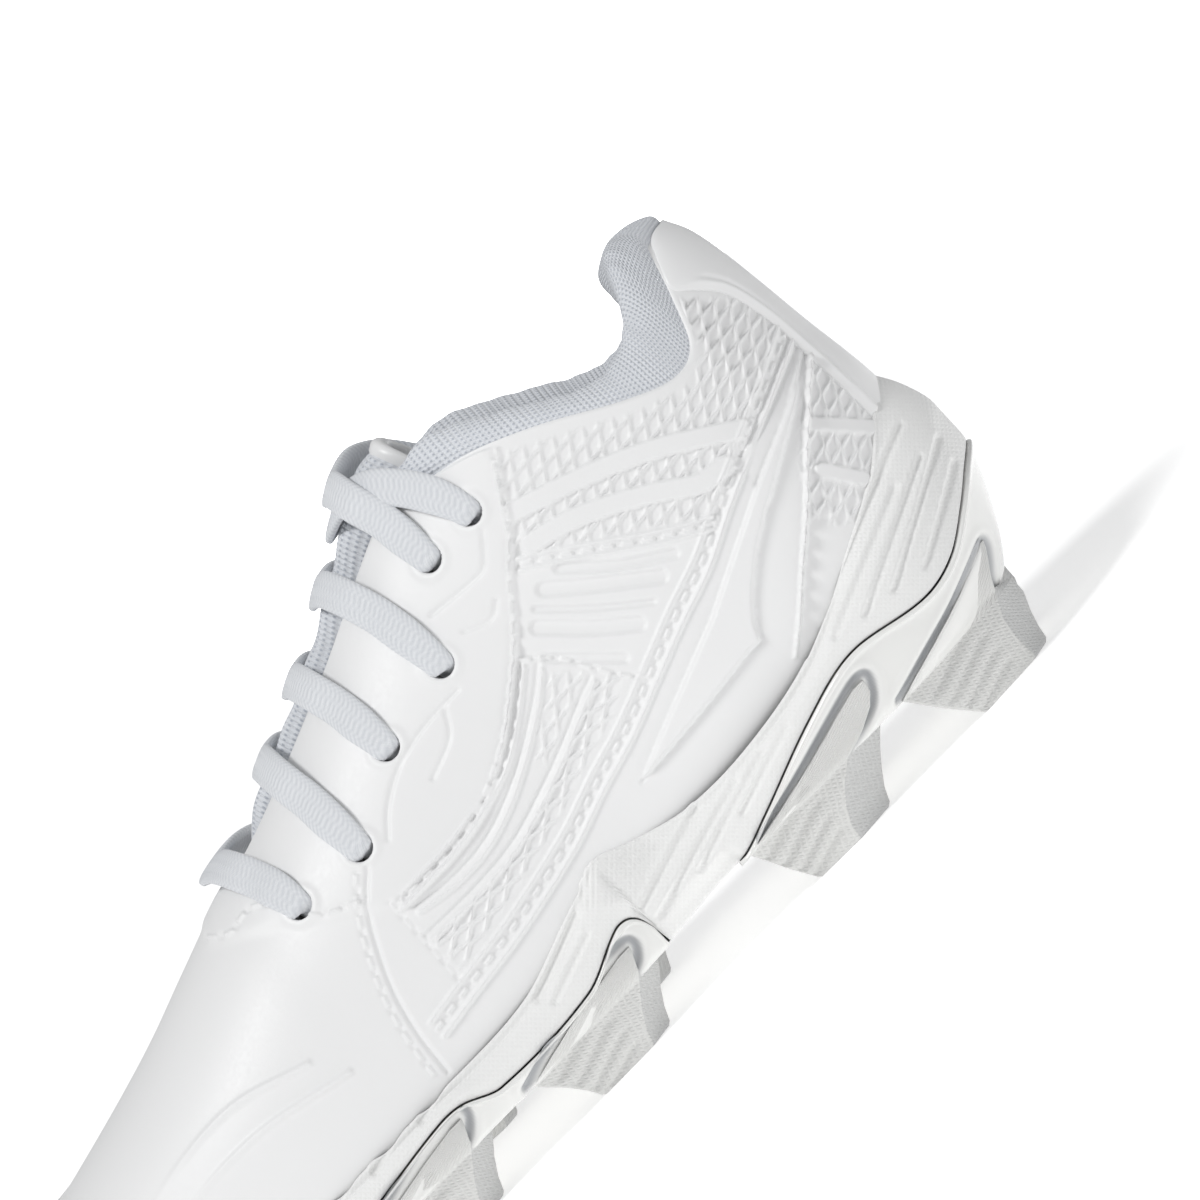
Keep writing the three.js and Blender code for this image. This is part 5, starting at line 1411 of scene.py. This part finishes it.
def stud(name, shape, start, side, lift_mm=0.0):
    z_known, front, ridge, rear = (np.array(v, float) for v in shape)
    offset = start if shape is stud_shapes["forefoot"] else 0
    z = np.concatenate([[0.0], np.linspace(0.5, z_known[-1], 52)])
    front, ridge, rear = (np.interp(z, z_known, v) + offset for v in (front, ridge, rear))
    front, ridge, rear = (v - 27 * side_shift - heel_back(40) * np.clip(1 - v / lean_reach, 0, 1) ** 2
                          for v in (front, ridge, rear))
    base = sole_base((front + ridge) / 2)
    below = np.clip((base - z) / base, 0, 1)

    def corner(s, inset):
        a = share(np.maximum(s, 0.4))
        k = np.clip((z - sole_base(s)) / (np.maximum(plate_line(s), sole_base(s) + 1) - sole_base(s)), 0, 1)
        flank_out = mix(edge_out(a), lip_out(a), k ** 0.7) - 0.15 + 0.4 * np.minimum(k * 6, 1)
        taper = 3.0 * np.clip((sole_base(s) - z) / sole_base(s), 0, 1) ** 1.2
        place = outline_point(side * a, flank_out - taper - inset, z * (1 - lift_mm / base.max()) + lift_mm)
        place[:, 0] = -s - heel_back(40) * np.maximum(1 - s / lean_reach, 0) ** 2
        return place

    buried = smooth(z, base.min(), base.min() + 2)
    deep = mix(mix(15.0, 8.5, below), 4.0, buried)
    face = mix(mix(6.5, 5.0, below), 2.5, buried)
    corners = np.stack([
        corner(front, 0 * z), corner(ridge, 0 * z), corner(rear, face), corner(mix(rear, front, 0.18), deep),
        corner(mix(rear, front, 0.8), deep * 0.94), corner(front + 0.6 * (1 - buried), face * 0.8),
    ], 1)
    rings_ = rounded(corners)
    rings_[0] = mix(rings_[1].mean(0), rings_[1], 0.93)
    rings_[0, :, 2] = lift_mm
    normal = grid_normals(np.concatenate([rings_, rings_[:, :1]], 1))[:, :-1]
    outward = rings_ - rings_.mean(1, keepdims=True)
    normal *= np.where((normal * outward).sum(-1, keepdims=True) < 0, -1, 1)
    seen = on_paper(rings_)
    outer_face = np.zeros(rings_.shape[1])
    outer_face[4:18] = 1
    rings_[1:] += (normal * (read_sheet(stud_press, *seen) * outer_face)[..., None])[1:]
    count_ = rings_.shape[1]
    looped = grid_faces(len(rings_), count_ + 1)
    row, column = looped // (count_ + 1), looped % (count_ + 1)
    faces_ = row * count_ + column % count_
    tip = np.array([rings_[0].mean(0)])
    # The rear faces are painted a darker grey: painted shade.
    rear_face_shade = np.zeros(count_)
    rear_face_shade[20:54] = 0.35
    stud_painted_shade = np.concatenate([np.tile(rear_face_shade, len(rings_)), [0.0]])
    points_ = np.concatenate([rings_.reshape(-1, 3), tip])
    fan = np.stack([np.arange(count_), np.roll(np.arange(count_), -1), np.full(count_, len(points_) - 1),
                    np.full(count_, len(points_) - 1)], -1)
    around_stud = run_length(np.swapaxes(rings_, 0, 1)).T
    map_ = np.concatenate([np.stack([around_stud, rings_[..., 2]], -1).reshape(-1, 2), [[0, 0]]])
    mesh_faces = [tuple(f) for f in (faces_ if side > 0 else faces_[:, ::-1]).tolist()]
    mesh_faces += [tuple(f[:3]) if side < 0 else tuple(f[:3][::-1]) for f in fan.tolist()]
    mesh = bpy.data.meshes.new(name)
    mesh.from_pydata(((points_ + origin) * MM).tolist(), [], mesh_faces)
    mesh.polygons.foreach_set("use_smooth", [True] * (len(mesh_faces) - count_) + [False] * count_)
    corner_ids = np.empty(len(mesh.loops), int)
    mesh.loops.foreach_get("vertex_index", corner_ids)
    mesh.uv_layers.new(name="pattern").data.foreach_set("uv", (map_[corner_ids] / 100).ravel())
    mesh.attributes.new("painted_shade", "FLOAT", "POINT").data.foreach_set("value", stud_painted_shade.ravel())
    mesh.materials.append(matte_tpu)
    piece = bpy.data.objects.new(name, mesh)
    bpy.context.scene.collection.objects.link(piece)
    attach(piece, "shoe")
    return piece


for name, start in stud_starts.items():
    shape = stud_shapes.get(name, stud_shapes["forefoot"])
    for side_name, side in (("lateral", OUTER), ("medial", INNER)):
        piece = stud(f"{name}_blade_{side_name}", shape, start, side, 0.6 if name == "forefoot_front" else 0.0)
        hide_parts(f"stud_{name}_{side_name}")
toe_node = frame["nodes"]["stud_toe"]
toe_node.data.materials.clear()
toe_node.data.materials.append(moulded("matte_tpu_plain", "#DDDDDB", "#B4B5B7", 0.5, 1.2, 0.3))
print("studs:", len(stud_starts) * 2, "blades")

# %% [markdown]
# ## Floor and light
#
# A pale floor and a white surround, as in a small studio. The surround only closes the view behind the shoe:
# it takes no part in the lighting, which comes from a pale sky and one broad lamp above the toe, so that the
# pressed pattern keeps its shade.

# %% Floor and light
def stage_disc(name, radius, height, material, segments=96):
    turns = np.linspace(0, 2 * np.pi, segments, endpoint=False)
    ring = np.stack([radius * np.cos(turns), radius * np.sin(turns), np.full(segments, height)], -1)
    mesh = bpy.data.meshes.new(name)
    mesh.from_pydata(ring.tolist(), [], [tuple(range(segments))])
    mesh.materials.append(material)
    disc = bpy.data.objects.new(name, mesh)
    bpy.context.scene.collection.objects.link(disc)
    return disc


floor_paint, floor_shader = finish("floor_paint", "#F2F2F2", 0.9)
floor_shader.inputs["Emission Color"].default_value = (1, 1, 1, 1)
floor_shader.inputs["Emission Strength"].default_value = 0.4
stage_disc("floor", 3.0, 0.0, floor_paint)

surround_paint, surround_shader = finish("surround_paint", "#FFFFFF", 1.0)
surround_shader.inputs["Emission Color"].default_value = (1, 1, 1, 1)
surround_shader.inputs["Emission Strength"].default_value = 2.0
surround_mesh = bpy.data.meshes.new("surround")
shell = bmesh.new()
bmesh.ops.create_uvsphere(shell, u_segments=48, v_segments=24, radius=9)
shell.to_mesh(surround_mesh)
shell.free()
surround_mesh.materials.append(surround_paint)
surround = bpy.data.objects.new("surround", surround_mesh)
bpy.context.scene.collection.objects.link(surround)
surround.visible_diffuse = surround.visible_glossy = surround.visible_transmission = False
surround.visible_shadow = surround.visible_volume_scatter = False

world = bpy.data.worlds.new("studio")
bpy.context.scene.world = world
world.use_nodes = True
world.node_tree.nodes["Background"].inputs["Color"].default_value = (*srgb("#FDFEFF")[:3], 1)
world.node_tree.nodes["Background"].inputs["Strength"].default_value = 0.36
lamp_data = bpy.data.lights.new("key_lamp", "SUN")
lamp_data.energy = 1.4
lamp_data.angle = math.radians(16)
lamp = bpy.data.objects.new("key_lamp", lamp_data)
bpy.context.scene.collection.objects.link(lamp)
lamp.rotation_euler = Vector((0.35, 0.5, -0.95)).to_track_quat("-Z", "Y").to_euler()
bpy.context.scene.view_settings.view_transform = "Standard"
bpy.context.scene.view_settings.look = "None"
bpy.context.scene.view_settings.exposure = 0.1
